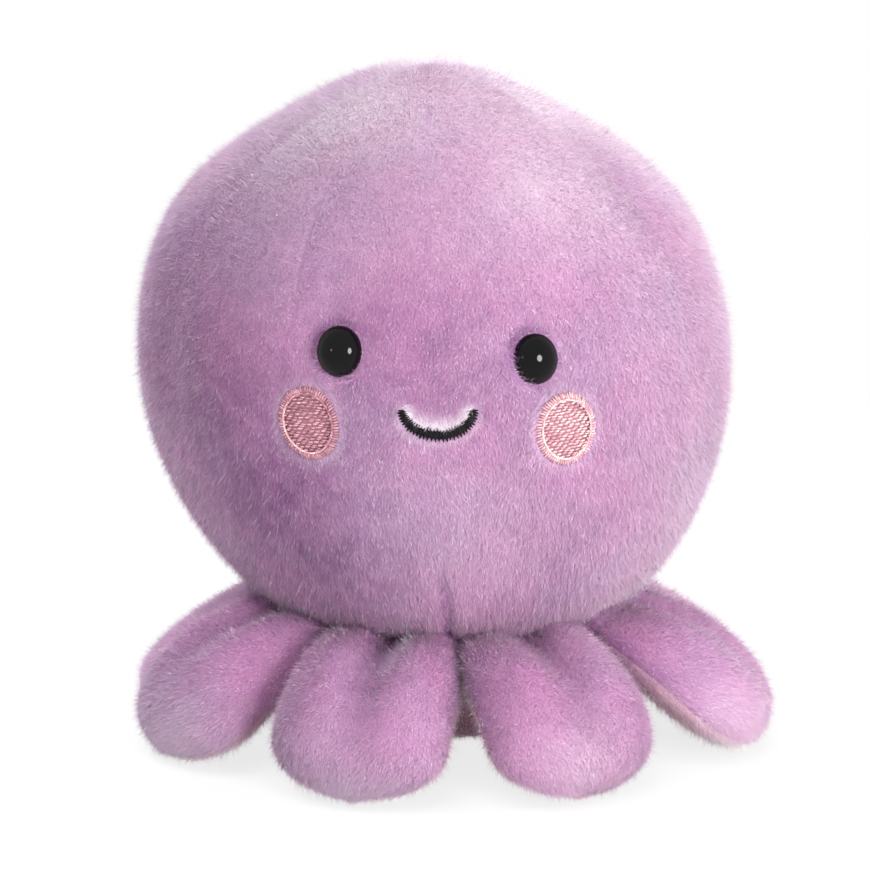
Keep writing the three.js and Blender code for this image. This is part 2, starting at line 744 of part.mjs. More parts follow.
const faceCutters = eyePlaces.flatMap(([, place]) => eyeCutters(place));
for (const [, place] of cheekPlaces) {
  const low = cheekSink + cheekThickness + seatGap;
  faceCutters.push(solidOf(cheekSolid(place, seatGap, low, -cutOverrun, 0)));
}
faceCutters.push(
  solidOf(smileSolid(smilePlace, seatGap, smileSink + smileThickness + seatGap, -cutOverrun, 1)),
);
const facePanel = faceCutters.reduce(
  (left, cutter) => left.subtract(cutter),
  solidOf(headPanel(-faceEdge, faceEdge, faceGrid)),
);
add("head_face_panel", geometryOf(facePanel), lavender);

backPanels.forEach((name, k) => {
  const from = panelSeams[k];
  const to = panelSeams[k + 1];
  const between = backColumnShares.map((share) => THREE.MathUtils.lerp(from, to, share));
  add(name, headPanel(from, to, [from, from + seamShoulder, ...between, to - seamShoulder, to]), lavender);
});

for (const [name, place] of eyePlaces) {
  add(name, seatedOnFace(eyeSolid(), place, eyeSeatDepth), eyePlastic);
  add(name.replace("eye", "eye_washer"), seatedOnFace(washerSolid(), place, eyeSeatDepth), washerPlastic);
}
for (const [name, place] of cheekPlaces) {
  add(name, cheekSolid(place, 0, cheekSink + cheekThickness, cheekSink, cheekBorderRise), blushThread);
}
add("smile", smileSolid(smilePlace, 0, smileSink + smileThickness, smileSink, threadRoundShare), blackThread);

add("head_filling", headFilling(eyePlaces.map(([, place]) => washerPocket(place))), fibre);
add("base_panel", basePanel(), palePink);
add("pellet_pouch_top", pouchShell(pouchAbove, pouchRim + seatGap / 2), pouchCotton);
add("pellet_pouch_bottom", pouchShell(-pouchBelow, pouchRim - seatGap / 2), pouchCotton);
add("pellets", pelletMass(), pellet);

armPoses.forEach((pose, k) => {
  const arm = new THREE.Group();
  arm.rotation.z = pose.azimuth - Math.PI / 2;
  octopus.add(arm);
  const shape = armShape(pose);
  add(`arm_${k + 1}_top_panel`, armPanel(shape, 1), lavender, arm);
  add(`arm_${k + 1}_underside_panel`, armPanel(shape, -1), palePink, arm);
  add(`arm_${k + 1}_filling`, armFilling(shape), fibre, arm);
});

export default octopus;
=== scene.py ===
"""A plush octopus: a stuffed ball of a head, sewn onto a ring of eight short, drooping arms.

Metres, Z up, the face looks towards -Y, and the origin is on the floor under the middle of the neck.
The file is laid out as an add-on with a panel of its own, and it is run as a script.
"""

import contextlib
import itertools
import math

import bpy
import numpy as np
from bpy.props import FloatProperty, FloatVectorProperty, IntProperty, PointerProperty
from mathutils import Matrix, Vector


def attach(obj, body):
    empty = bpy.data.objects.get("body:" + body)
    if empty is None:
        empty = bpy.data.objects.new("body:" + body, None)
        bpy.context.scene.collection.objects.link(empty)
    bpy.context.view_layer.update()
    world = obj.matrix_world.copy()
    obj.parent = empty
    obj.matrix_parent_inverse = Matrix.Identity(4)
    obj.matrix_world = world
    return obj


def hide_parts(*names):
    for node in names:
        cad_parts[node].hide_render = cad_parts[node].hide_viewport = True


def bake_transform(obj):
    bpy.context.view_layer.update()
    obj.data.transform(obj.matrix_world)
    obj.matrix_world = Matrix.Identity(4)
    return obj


bl_info = {
    "name": "Plush Octopus",
    "version": (1, 0, 0),
    "blender": (4, 5, 0),
    "location": "View3D > Sidebar > Octopus",
    "description": "Dresses the octopus's frame in furry covers, embroidery and eyes",
    "category": "Object",
}

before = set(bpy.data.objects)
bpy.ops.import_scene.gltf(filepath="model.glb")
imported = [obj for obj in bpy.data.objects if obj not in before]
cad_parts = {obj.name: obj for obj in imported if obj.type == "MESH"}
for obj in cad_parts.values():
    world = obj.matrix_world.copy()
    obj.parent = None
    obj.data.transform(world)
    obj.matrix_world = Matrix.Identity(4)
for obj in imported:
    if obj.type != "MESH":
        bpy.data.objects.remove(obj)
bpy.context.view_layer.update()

BODY = "head_and_body"
DEGREE = math.pi / 180
TURN = 2 * math.pi
QUARTER = math.pi / 2

# Seams of the head's panels, and the panels between them, by azimuth from the front in degrees.
PANEL_SEAMS = (60, 120, 180, 240, 300)
PANELS = {
    "face_panel": ("head_face_panel", -60, 60),
    "side_panel_right": ("head_side_panel_right", 60, 120),
    "back_panel_right": ("head_back_panel_right", 120, 180),
    "back_panel_left": ("head_back_panel_left", 180, 240),
    "side_panel_left": ("head_side_panel_left", 240, 300),
}
FACE_HALF_SPAN, PANEL_HALF_SPAN = 60, 30

# Darts in the face panel: azimuth, lowest and highest latitude, and how strongly the seam shows.
DARTS = ((0, 30, 90, 0.4), (0, -90, -35, 1.6), (-27, 22, 47, 0.8))

# Arms: azimuth and roll in degrees, the share of being tucked under, the share by which the underside
# hangs deeper, the millimetres by which the tip is set aside, and the degrees by which both sides droop.
ARMS = (
    (22, -8, 0, 0.13, 0.7, 0),
    (69.8, -10, 0.10, 0.60, -1.9, 6),
    (116, 0, 1, 0, 0, 0),
    (161, 0, 1, 0, 0, 0),
    (206, 0, 1, 0, 0, 0),
    (251.5, 0, 1, 0, 0, 0),
    (298.5, 2, 0, 0.1, 1.4, 10),
    (343, 0, 0, 0, 0.3, 0),
)
# Both sides of an arm: which way it faces, its name, its finish and its slot.
ARM_SIDES = ((1, "top", "lavender", "lavender_plush"), (-1, "underside", "pink", "pale_pink_plush"))

# Places on the face, as shares: across, of the half width, and up, of the rise.
EYES = {"left": (-0.2955, 0.195), "right": (0.339, 0.167)}
CHEEKS = {"left": (-0.407, -0.051), "right": (0.430, -0.074)}
SMILE = (0.0165, 0.011)
SMILE_MIDDLE = (SMILE[0], SMILE[1] - 0.07)

# Dents in the stuffing, each with its depth and width: under the face's pieces, and at places elsewhere.
EYE_DENT, CHEEK_DENT, SMILE_DENT = (0.0011, 0.0060), (0.0006, 0.0080), (0.0005, 0.0070)
SOFT_DENTS = (
    ((-0.88, 0.04), 0.0010, 0.0065),
    ((-0.62, 0.55), 0.0006, 0.0080),
    ((0.12, 0.48), 0.0004, 0.0050),
    ((-0.50, -0.62), 0.0008, 0.0080),
)

# Places on the face that get painted shade on the pile: how deep its tone is, and how wide the place.
PAINTED_SHADE_PATCHES = (
    ((-0.66, -0.20), 0.34, 0.015),
    ((-0.42, -0.48), 0.50, 0.015),
    ((0.02, 0.24), 0.32, 0.013),
)
# Where the chin gets painted light on the pile, how much and how wide.
CHIN_PAINTED_LIGHT = ((0.08, -0.46), 0.16, 0.016)


# Sizes and colours that a user would change


def length(name, description, default):
    return FloatProperty(
        name=name, description=description, default=default, min=0, unit="LENGTH", subtype="DISTANCE"
    )


def colour(name, description, default):
    return FloatVectorProperty(
        name=name, description=description, default=default, size=3, min=0, max=1, subtype="COLOR"
    )


def angle(name, description, degrees):
    return FloatProperty(name=name, description=description, default=degrees * DEGREE, subtype="ANGLE")


class OctopusHeadSizes(bpy.types.PropertyGroup):
    equator_height: length("Equator height", "Height of the head's widest place above the floor", 0.070)
    half_width: length("Half width", "Half the head's width at its equator", 0.0544)
    rise: length("Rise", "From the equator up to the crown", 0.0538)
    neck_height: length("Neck height", "Height of the seam where head and arms meet", 0.024)
    neck_radius: length("Neck radius", "Radius of that seam", 0.0345)
    lean: FloatProperty(name="Lean", description="Sideways lean for each unit of height", default=0.079)
    seam_depth: length("Seam depth", "How far a seam pulls the cover in", 0.0004)
    seam_width: length("Seam width", "How wide the dip along a seam is", 0.0016)
    puff: length("Puff", "How far a panel swells between its seams", 0.00045)
    wall: length("Wall", "Thickness of the backing cloth", 0.0010)


class OctopusArmSizes(bpy.types.PropertyGroup):
    reach: length("Length", "Length of an arm along its middle line", 0.0334)
    half_width: length("Half width", "Half the greatest width of an arm", 0.0184)
    root_half_width: length("Root half width", "Half the width where it is sewn on", 0.0134)
    widest_at: length("Widest at", "Distance from the root to the widest place", 0.018)
    top_rise: length("Top rise", "How far the top swells from the middle surface", 0.0105)
    bottom_drop: length("Bottom drop", "How far the underside hangs from it", 0.0046)
    pleat_depth: length("Pleat depth", "Depth of the gathered pleat on the top panel", 0.0050)
    pleat_width: length("Pleat width", "Width of that pleat", 0.0034)
    pleat_length: length("Pleat length", "How far the pleat runs out from the root", 0.029)


class OctopusPileSizes(bpy.types.PropertyGroup):
    height: length("Backing depth", "From the combed pile's surface down to the backing", 0.0010)
    strand: length("Strand length", "Length of one strand", 0.0015)
    width: length("Strand width", "Width of one strand at its root", 0.00012)
    lean: angle("Lean", "Angle of a strand from upright", 70)
    density: IntProperty(name="Density", description="Strands on each square millimetre", default=28)
    # The pile's colours darken from tip to root, partly as painted shade deep in the pile.
    root: colour("Root colour", "Lavender pile, deep down", (0.47, 0.21, 0.46))
    middle: colour("Middle colour", "Lavender pile, half way up", (0.66, 0.385, 0.585))
    tip: colour("Tip colour", "Lavender pile, at its tips", (0.77, 0.505, 0.665))
    pink_root: colour("Pink root colour", "Underside pile, deep down", (0.62, 0.38, 0.47))
    pink_tip: colour("Pink tip colour", "Underside pile, at its tips", (0.92, 0.72, 0.80))
    # Shiny strands' tips take this near-white colour as a painted glint.
    glint: colour("Glint colour", "Single shiny strands", (1.0, 0.96, 1.0))


class OctopusFaceSizes(bpy.types.PropertyGroup):
    eye_width: length("Eye width", "Width of an eye", 0.0080)
    eye_height: length("Eye height", "Height of an eye", 0.0089)
    eye_dome: length("Eye dome", "How high the dome rises from its straight side", 0.0031)
    eye_side: length("Eye side", "Height of the straight side", 0.0011)
    cheek_width: length("Cheek width", "Width of an embroidered cheek", 0.0119)
    cheek_height: length("Cheek height", "Height of an embroidered cheek", 0.0133)
    cheek_border: length("Cheek border", "Width of its satin border", 0.0013)
    smile_half_width: length("Smile half width", "Half the width of the smile", 0.0063)
    smile_depth: length("Smile depth", "How far the smile hangs down", 0.0044)
    smile_half_band: length("Smile half band", "Half the width of its band in the middle", 0.00095)
    thread: length("Thread", "Thickness of the embroidery thread", 0.00046)
    cheek_thread: colour("Cheek thread", "Colour of the cheeks' thread", (0.53, 0.27, 0.31))
    smile_thread: colour("Smile thread", "Colour of the smile's thread", (0.006, 0.005, 0.007))
    eye_colour: colour("Eye colour", "Colour of the eyes", (0.0012, 0.0012, 0.0014))


class OctopusStageSizes(bpy.types.PropertyGroup):
    distance: length("Camera distance", "From the camera to the object's middle", 0.75)
    aim_height: length("Aim height", "Height that the camera looks at", 0.060)
    elevation: angle("Elevation", "Camera's angle above the horizon", 13)
    lens: FloatProperty(name="Lens", description="Focal length in millimetres", default=167.6)
    shift_across: FloatProperty(name="Shift across", description="Lens shift sideways", default=-0.0161)
    shift_up: FloatProperty(name="Shift up", description="Lens shift upwards", default=-0.0391)
    floor_size: length("Floor size", "Side of the floor", 12.0)


# Meshes


def begin():
    """Leaves edit mode and selects nothing."""
    active = bpy.context.view_layer.objects.active
    if active and active.mode != "OBJECT":
        bpy.ops.object.mode_set(mode="OBJECT")
    bpy.ops.object.select_all(action="DESELECT")


def choose(piece, *others):
    """Selects these pieces alone and makes the first the active one."""
    begin()
    for one in (piece, *others):
        one.select_set(True)
    bpy.context.view_layer.objects.active = piece


@contextlib.contextmanager
def edit_mode(piece):
    """Edit mode on one piece, with all of it selected."""
    choose(piece)
    bpy.ops.object.mode_set(mode="EDIT")
    bpy.ops.mesh.select_all(action="SELECT")
    yield
    bpy.ops.object.mode_set(mode="OBJECT")


def named(name):
    """The primitive that was just added, under its own name."""
    piece = bpy.context.active_object
    piece.name = piece.data.name = name
    return piece


def new_piece(name, mesh):
    piece = bpy.data.objects.new(name, mesh)
    bpy.context.scene.collection.objects.link(piece)
    return piece


def vectors_of(items, key):
    """One vector for each vertex or face, such as its place or its normal."""
    values = np.empty(len(items) * 3, np.float32)
    items.foreach_get(key, values)
    return values.reshape(-1, 3)


def points_of(piece):
    return vectors_of(piece.data.vertices, "co").astype(float)


def move_points(piece, points):
    piece.data.vertices.foreach_set("co", points.astype(np.float32).ravel())
    piece.data.update()


def unit(vectors):
    return vectors / np.maximum(np.linalg.norm(vectors, axis=-1, keepdims=True), 1e-12)


def along_surface(vectors, normals):
    """Unit vectors with what points out of the surface taken away."""
    return unit(vectors - normals * np.sum(vectors * normals, axis=1, keepdims=True))


def finish_with(piece, kind, **values):
    """Adds one modifier and applies it."""
    choose(piece)
    modifier = piece.modifiers.new(kind.title(), kind)
    for key, value in values.items():
        setattr(modifier, key, value)
    bpy.ops.object.modifier_apply(modifier=modifier.name)


def smooth(piece):
    choose(piece)
    bpy.ops.object.shade_smooth()


def sheet_on(name, columns, rows, surface, middle):
    """A grid laid on a surface given by shares, with its faces turned away from a middle."""
    begin()
    bpy.ops.mesh.primitive_grid_add(x_subdivisions=columns, y_subdivisions=rows, size=1)
    piece = named(name)
    flat = points_of(piece)
    move_points(piece, surface(flat[:, 0] + 0.5, flat[:, 1] + 0.5))
    away = vectors_of(piece.data.polygons, "center").astype(float) - middle
    if np.sum(vectors_of(piece.data.polygons, "normal") * away) < 0:
        with edit_mode(piece):
            bpy.ops.mesh.flip_normals()
    return piece


def joined(first, *others):
    """Joins pieces into the first, and keeps its name."""
    choose(first, *others)
    bpy.ops.object.join()
    return first


def settle(piece, finish, slot, *nodes, body=BODY):
    """Gives a finished piece its material and its body, and hides the nodes that it stands for. slot is not
    used.
    """
    piece.data.materials.clear()
    piece.data.materials.append(finishes()[finish])
    if nodes:
        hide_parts(*nodes)
    if body:
        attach(piece, body)


# Formulas


NOISE_ENTRIES = 65536
NOISE_FACTORS = (73856093, 19349663, 83492791)
SETTLING_STEPS = 40


def lattice_noise(points, size, seed):
    """Smooth noise with three channels from -1 to 1, for points in metres."""
    table = np.random.default_rng(seed).uniform(-1, 1, (NOISE_ENTRIES, 3)).astype(np.float32)
    grid = points / size
    low = np.floor(grid).astype(np.int64)
    share = (grid - low).astype(np.float32)
    share = share * share * (3 - 2 * share)
    total = np.zeros((len(points), 3), np.float32)
    for corner in itertools.product((0, 1), repeat=3):
        keys = (low + corner) * NOISE_FACTORS
        key = (keys[:, 0] ^ keys[:, 1] ^ keys[:, 2]) % NOISE_ENTRIES
        near = np.where(corner, share, 1 - share)
        total += table[key] * (near[:, 0] * near[:, 1] * near[:, 2])[:, None]
    return total


def smooth_step(value, low, high):
    share = np.clip((value - low) / (high - low), 0, 1)
    return share * share * (3 - 2 * share)


def hill(off, width):
    """1 in the middle of a place, and less and less away from it."""
    return np.exp(-((off / width) ** 2))


def direction_at(azimuth, latitude):
    return np.stack(
        [np.cos(latitude) * np.sin(azimuth), -np.cos(latitude) * np.cos(azimuth), np.sin(latitude)], axis=-1
    )


def turn_between(a, b):
    return np.abs((a - b + math.pi) % TURN - math.pi)


def along_dart(latitude, low, high, fade):
    """1 between the ends of a dart and 0 past them. The ends and the fade are in degrees."""
    begun = smooth_step(latitude, (low - fade) * DEGREE, (low + fade) * DEGREE)
    return begun * (1 - smooth_step(latitude, (high - fade) * DEGREE, (high + fade) * DEGREE))


# The head's shape


class HeadShape:
    """The head's surface, by azimuth from the front and latitude, in radians."""

    # A panel starts a little below the neck seam and ends just short of the crown's pole.
    hem, crown = 3 * DEGREE, 89.6 * DEGREE
    # From this latitude up the head is less round than an ellipse, by this share at most.
    shoulder_start, shoulder_loss = 25 * DEGREE, 0.043
    # Radius of a parallel below which seams get no narrower in turn.
    least_arc = 0.005
    # Shares of the seam depth that a panel's seam and a dart pull in, and how a dart's ends fade.
    panel_pull, dart_pull = 0.4, 0.9
    dart_fade, nap_fade = 6, 4
    # The lean eases off by this much for each metre above the neck.
    lean_easing = 5.1

    def __init__(self, sizes):
        self.sizes = sizes
        above = sizes.equator_height - sizes.neck_height
        self.drop = above / math.sqrt(1 - (sizes.neck_radius / sizes.half_width) ** 2)
        self.lowest = -math.atan2(above, sizes.neck_radius) - self.hem
        self.dents = []

    def reach(self, latitude):
        pole = np.where(latitude > 0, self.sizes.rise, self.drop)
        reach = 1 / np.hypot(np.cos(latitude) / self.sizes.half_width, np.sin(latitude) / pole)
        shoulder = np.clip((latitude - self.shoulder_start) / (QUARTER - self.shoulder_start), 0, 1)
        return reach * (1 - self.shoulder_loss * np.sin(math.pi * shoulder) ** 2)

    def arc(self, latitude):
        return np.maximum(self.reach(latitude) * np.cos(latitude), self.least_arc)

    def seams(self, azimuth, latitude, width):
        """How near each point is to a seam, 1 on it: of a panel, and of a dart."""
        arc = self.arc(latitude)
        nearest = np.min([turn_between(azimuth, seam * DEGREE) for seam in PANEL_SEAMS], axis=0)
        panel = hill(arc * nearest, width)
        dart = np.zeros_like(panel)
        for at, low, high, strength in DARTS:
            on = hill(arc * turn_between(azimuth, at * DEGREE), width)
            dart = np.maximum(dart, strength * along_dart(latitude, low, high, self.dart_fade) * on)
        return panel, dart, nearest

    def parting(self, azimuth, latitude, width):
        """How far the nap is combed away from the darts: to the right where it is more than 0."""
        arc = self.arc(latitude)
        total = np.zeros_like(arc)
        for at, low, high, strength in DARTS:
            off = arc * ((azimuth - at * DEGREE + math.pi) % TURN - math.pi) / width
            total += strength * along_dart(latitude, low, high, self.nap_fade) * np.sign(off) * hill(off, 1)
        return total

    def point(self, azimuth, latitude, depth):
        panel, dart, nearest = self.seams(azimuth, latitude, self.sizes.seam_width)
        in_face = turn_between(azimuth, 0) < FACE_HALF_SPAN * DEGREE
        span = np.where(in_face, FACE_HALF_SPAN, PANEL_HALF_SPAN) * DEGREE
        swell = -np.cos(math.pi * np.minimum(nearest / span, 1))
        sunk = self.sizes.seam_depth * (self.panel_pull * panel + self.dart_pull * dart)
        sunk = sunk - self.sizes.puff * swell * np.cos(latitude)
        points = self.lean(direction_at(azimuth, latitude) * (self.reach(latitude) - sunk - depth)[..., None])
        for place, down, wide in self.dents:
            off = np.linalg.norm(points - place["point"], axis=-1)
            points = points - place["out"] * (down * hill(off, wide))[..., None]
        return points

    def lean(self, points):
        """From points round the head's centre to ones above the floor, moved sideways by the lean."""
        points = points + np.array([0, 0, self.sizes.equator_height])
        above = points[..., 2] - self.sizes.neck_height
        points[..., 0] -= self.sizes.lean * above * (1 - self.lean_easing * above)
        return points

    def angles(self, start, end, across, up):
        """Azimuth and latitude by shares from a panel's first to its last seam and from neck to crown."""
        return (start + across * (end - start)) * DEGREE, self.lowest + up * (self.crown - self.lowest)

    def panel(self, start, end, depth):
        """A panel's surface, by those shares."""
        return lambda across, up: self.point(*self.angles(start, end, across, up), depth)

    def place(self, across, up):
        """A place on the face: its point, and the directions right, up and out of it."""
        latitude = 0.0
        for _ in range(SETTLING_STEPS):
            latitude = math.asin(up * self.sizes.rise / float(self.reach(np.float64(latitude))))
        reach = float(self.reach(np.float64(latitude)))
        azimuth = math.asin(across * self.sizes.half_width / (reach * math.cos(latitude)))
        out = direction_at(np.float64(azimuth), np.float64(latitude))
        right = np.array([math.cos(azimuth), math.sin(azimuth), 0.0])
        return {
            "point": self.lean(out * reach),
            "out": out,
            "right": right,
            "up": np.cross(out, right),
            "reach": reach,
        }

    def on_face(self, place, flat, depth):
        """Points a depth below the smooth surface, under points of the place's tangent plane."""
        across, along = flat[:, :1], flat[:, 1:]
        aim = unit(place["out"] * place["reach"] + place["right"] * across + place["up"] * along)
        reach = self.reach(np.arcsin(aim[..., 2]))[..., None]
        return self.lean(aim * (reach - depth))


def head_shape():
    head = HeadShape(bpy.context.scene.octopus_head)
    dents = [(head.place(*where), *EYE_DENT) for where in EYES.values()]
    dents += [(head.place(*where), *CHEEK_DENT) for where in CHEEKS.values()]
    dents += [(head.place(*SMILE_MIDDLE), *SMILE_DENT)]
    dents += [(head.place(*where), down, wide) for where, down, wide in SOFT_DENTS]
    head.dents = dents
    return head


# The arms' shape


class ArmShape:
    """One arm's surface, by distance along its middle line, aside of it, and out of its middle surface."""

    # Where the middle line starts, outside and below the neck seam, and how high its tip ends.
    root_outside, root_below, tip_height = 0.0005, 0.0014, 0.0011
    # Slope at the root in degrees, and what is added to it where an arm is tucked under.
    root_slope, tucked_slope = 28, 18
    # Top and underside of a tucked arm, and the share by which its pleat is shallower.
    tucked_top, tucked_bottom, tucked_pleat = 0.006, 0.0036, 0.7
    # Neighbours overlap at the root and part between these distances.
    overlap, parted, parting = 0.0006, 0.0023, (0.010, 0.024)
    # Exponents of the outline before its widest place and past it, of its limit, and of the swell.
    widening, closing, limiting, rounding = 2.2, 2.5, 9.0, 2.4
    # Where the top and the underside swell most, and their share of it at the root.
    most_at, root_share = {1: 0.018, -1: 0.012}, 0.45
    # How the pleat widens and how it fades.
    pleat_widening, pleat_fading = 0.9, 0.8
    # Between these distances an arm starts to roll and droop, and to be set aside.
    rolling, setting_aside = (-0.002, 0.010), (0, 0.016)
    # Half the width of the strip along the middle on which the droop starts softly.
    soft_strip = 0.004
    # The cover starts inside the neck seam, and its rows crowd towards the tip.
    start, crowding = -0.0030, 1.7
    # Between these distances a deeper surface becomes narrower too, down to a least half width.
    narrowing, least_half_width = (0.004, 0.016), 0.0003
    # Half the gap between both panels, at the edge where they are sewn together.
    half_gap = 0.0001
    # A point well inside both panels: how far along, and how far out of the middle surface.
    inside_along, inside_out = 0.014, 0.004

    def __init__(self, sizes, head, number):
        self.sizes = sizes
        azimuth, roll, tuck, sag, aside, droop = ARMS[number - 1]
        self.azimuth = azimuth * DEGREE
        self.roll = roll * DEGREE
        self.aside = aside / 1000
        self.droop = math.sin(droop * DEGREE)
        self.root_radius = head.neck_radius + self.root_outside
        self.root_height = head.neck_height - self.root_below
        others = [other[0] for other in ARMS if other[0] != azimuth]
        before = min((azimuth - other) % 360 for other in others) / 2
        after = min((other - azimuth) % 360 for other in others) / 2
        self.sectors = (before * DEGREE, after * DEGREE)
        self.slope = (self.root_slope + self.tucked_slope * tuck) * DEGREE
        self.bend_to(self.root_height - self.tip_height)
        self.top = sizes.top_rise + tuck * (self.tucked_top - sizes.top_rise)
        self.bottom = sizes.bottom_drop + tuck * (self.tucked_bottom - sizes.bottom_drop)
        self.bottom += sag * sizes.bottom_drop
        self.pleat_depth = sizes.pleat_depth * (1 - self.tucked_pleat * tuck)

    def bend_to(self, drop):
        """Finds how much the slope changes for each metre along, for the tip to lie a drop below the root."""
        low, high = ((side * QUARTER - self.slope) / self.sizes.reach for side in (-1, 1))
        for _ in range(SETTLING_STEPS):
            self.bend = (low + high) / 2
            if self.fall(self.sizes.reach) < drop:
                low = self.bend
            else:
                high = self.bend

    def fall(self, along):
        return (math.cos(self.slope) - np.cos(self.slope + self.bend * along)) / self.bend

    def out_at(self, along):
        return (np.sin(self.slope + self.bend * along) - math.sin(self.slope)) / self.bend

    def root_sag(self, along, aside):
        """How far the straight root falls back at its sides, to follow the round neck."""
        half = np.minimum(np.abs(aside), self.root_radius / 2)
        cut = self.root_radius - np.sqrt(self.root_radius**2 - half**2)
        return cut * (1 - along / self.sizes.reach) ** 2

    def spread(self, along, side_share):
        """Half the width of an arm, within its sector between its neighbours."""
        sizes = self.sizes
        sector = np.where(side_share < 0, self.sectors[0], self.sectors[1])
        before = np.clip(1 - along / sizes.widest_at, 0, 1)
        past = np.maximum((along - sizes.widest_at) / (sizes.reach - sizes.widest_at), 0)
        grown = sizes.half_width - (sizes.half_width - sizes.root_half_width) * before**self.widening
        free = grown * np.sqrt(np.maximum(1 - past**self.closing, 0))

        def room(sag):
            apart = self.parted * smooth_step(along, *self.parting) - self.overlap
            return (self.root_radius + self.out_at(along) - sag) * np.tan(sector) - apart

        most = room(self.root_sag(along, np.minimum(free, room(0))))
        both = np.maximum(free, 1e-5) ** -self.limiting + most**-self.limiting
        return both ** (-1 / self.limiting)

    def swell(self, along, most, most_at):
        pinch = self.root_share * most
        turn = np.clip(along / most_at, 0, 1) * math.pi / 2
        rising = pinch + (most - pinch) * np.sin(turn)
        past = np.maximum((along - most_at) / (self.sizes.reach - most_at), 0)
        return np.where(along < most_at, rising, most * np.sqrt(np.maximum(1 - past**self.rounding, 0)))

    def pleat(self, along, aside):
        share = np.clip(along / self.sizes.pleat_length, 0, 1)
        width = self.sizes.pleat_width * (1 + self.pleat_widening * share)
        return self.pleat_depth * (1 - share) ** self.pleat_fading * hill(aside, width)

    def point(self, along, aside, out):
        slope = self.slope + self.bend * along
        grown = smooth_step(along, *self.rolling)
        roll = self.roll * grown
        drooped = self.droop * grown * (np.hypot(aside, self.soft_strip) - self.soft_strip)
        aside = aside + self.aside * smooth_step(along, *self.setting_aside)
        rise = out * np.cos(roll) + aside * np.sin(roll) - drooped
        outwards = self.root_radius + self.out_at(along) + rise * np.sin(slope) - self.root_sag(along, aside)
        sideways = aside * np.cos(roll) - out * np.sin(roll)
        up = self.root_height - self.fall(along) + rise * np.cos(slope)
        sine, cosine = math.sin(self.azimuth), math.cos(self.azimuth)
        return np.stack(
            [outwards * sine + sideways * cosine, -outwards * cosine + sideways * sine, up], axis=-1
        )

    def along_share(self, out_share):
        return 1 - (1 - out_share) ** self.crowding

    def face(self, side, depth):
        """The top (1) or underside (-1), by shares from side to side and from root to tip."""
        most = self.top if side > 0 else self.bottom

        def surface(across, out_share):
            aside_share = np.sin((across - 0.5) * math.pi)
            share = self.along_share(out_share)
            full = self.start + share * (self.sizes.reach - self.start)
            along = self.start + share * (self.sizes.reach - depth - self.start)
            inset = depth * smooth_step(along, *self.narrowing)
            spread = np.maximum(self.spread(full, aside_share) - inset, self.least_half_width)
            pleat = self.pleat(full, aside_share * spread) if side > 0 else 0
            rise = np.maximum(self.swell(full, most, self.most_at[side]) - depth - pleat, 0)
            out = rise * np.sqrt(np.maximum(1 - np.abs(aside_share) ** self.rounding, 0))
            return self.point(along, aside_share * spread, side * (out + self.half_gap))

        return surface

    def middle(self, along):
        return self.point(np.float64(along), np.float64(0), np.float64(0))

    def inside(self, side):
        """A point that a panel's faces are turned away from."""
        return self.point(np.float64(self.inside_along), np.float64(0), np.float64(-self.inside_out * side))


def arm_shape(number):
    scene = bpy.context.scene
    return ArmShape(scene.octopus_arms, scene.octopus_head, number)


# The pile: strands that grow from a surface, combed over

# A strand whose random number is higher than the first is a shiny one, with a painted highlight at its tip,
# and than the second a stray one.
SHINY, STRAY = 0.958, 0.80
# Swirls in the nap: their size, and how far they turn and lean the strands. Tufts: size and shift.
SWIRL_SIZE, SWIRL_TURN, SWIRL_LEAN = 0.011, 0.42, 0.12
TUFT_SIZE, TUFT_SHIFT = 0.0013, 0.00014
# How much single strands differ, and the least and the most that they reach.
TURN_SPREAD, LEAN_SPREAD, LENGTH_SPREAD, SHADING_SPREAD = 0.46, 0.22, 0.18, 0.16
LEAN_LIMITS, LENGTH_LIMITS, ROLL_LIMITS, WIDTH_LIMITS = (0.05, 1.46), (0.5, 1.6), (-0.8, 0.8), (0.7, 1.3)
# How shiny and stray strands differ from the rest: angle nearer upright, length and width.
SHINY_RISE, SHINY_SHORTER, SHINY_WIDER = 0.45, 0.3, 0.5
STRAY_RISE, STRAY_LONGER, STRAY_FINER = 0.65, 0.35, 0.3
# A strand is shaded mostly as the surface that it grows from, and a little as its own direction.
SURFACE_SHADING, STRAND_SHADING = 0.85, 0.1
# Height below which no tip of an arm's or of the base's strands goes.
FLOOR_GAP = 0.0002
# Seeds: the first panel's and the step to the next one's, and what single draws and noises add to it.
HEAD_SEEDS, ARM_SEEDS, BASE_SEED = (100, 10), (1000, 20), 60
SWIRL_SEED, TUFT_SEED, GLINT_SEED, PATCH_SEED, SPECKLE_SEED = 1, 2, 5, 6, 7
# The corners of a strand in its own cell of the UV map, and how many times higher than wide a cell is.
STRAND_IN_CELL = ((0.2, 0.06), (0.8, 0.06), (0.5, 0.94))
CELL_HEIGHT = 4


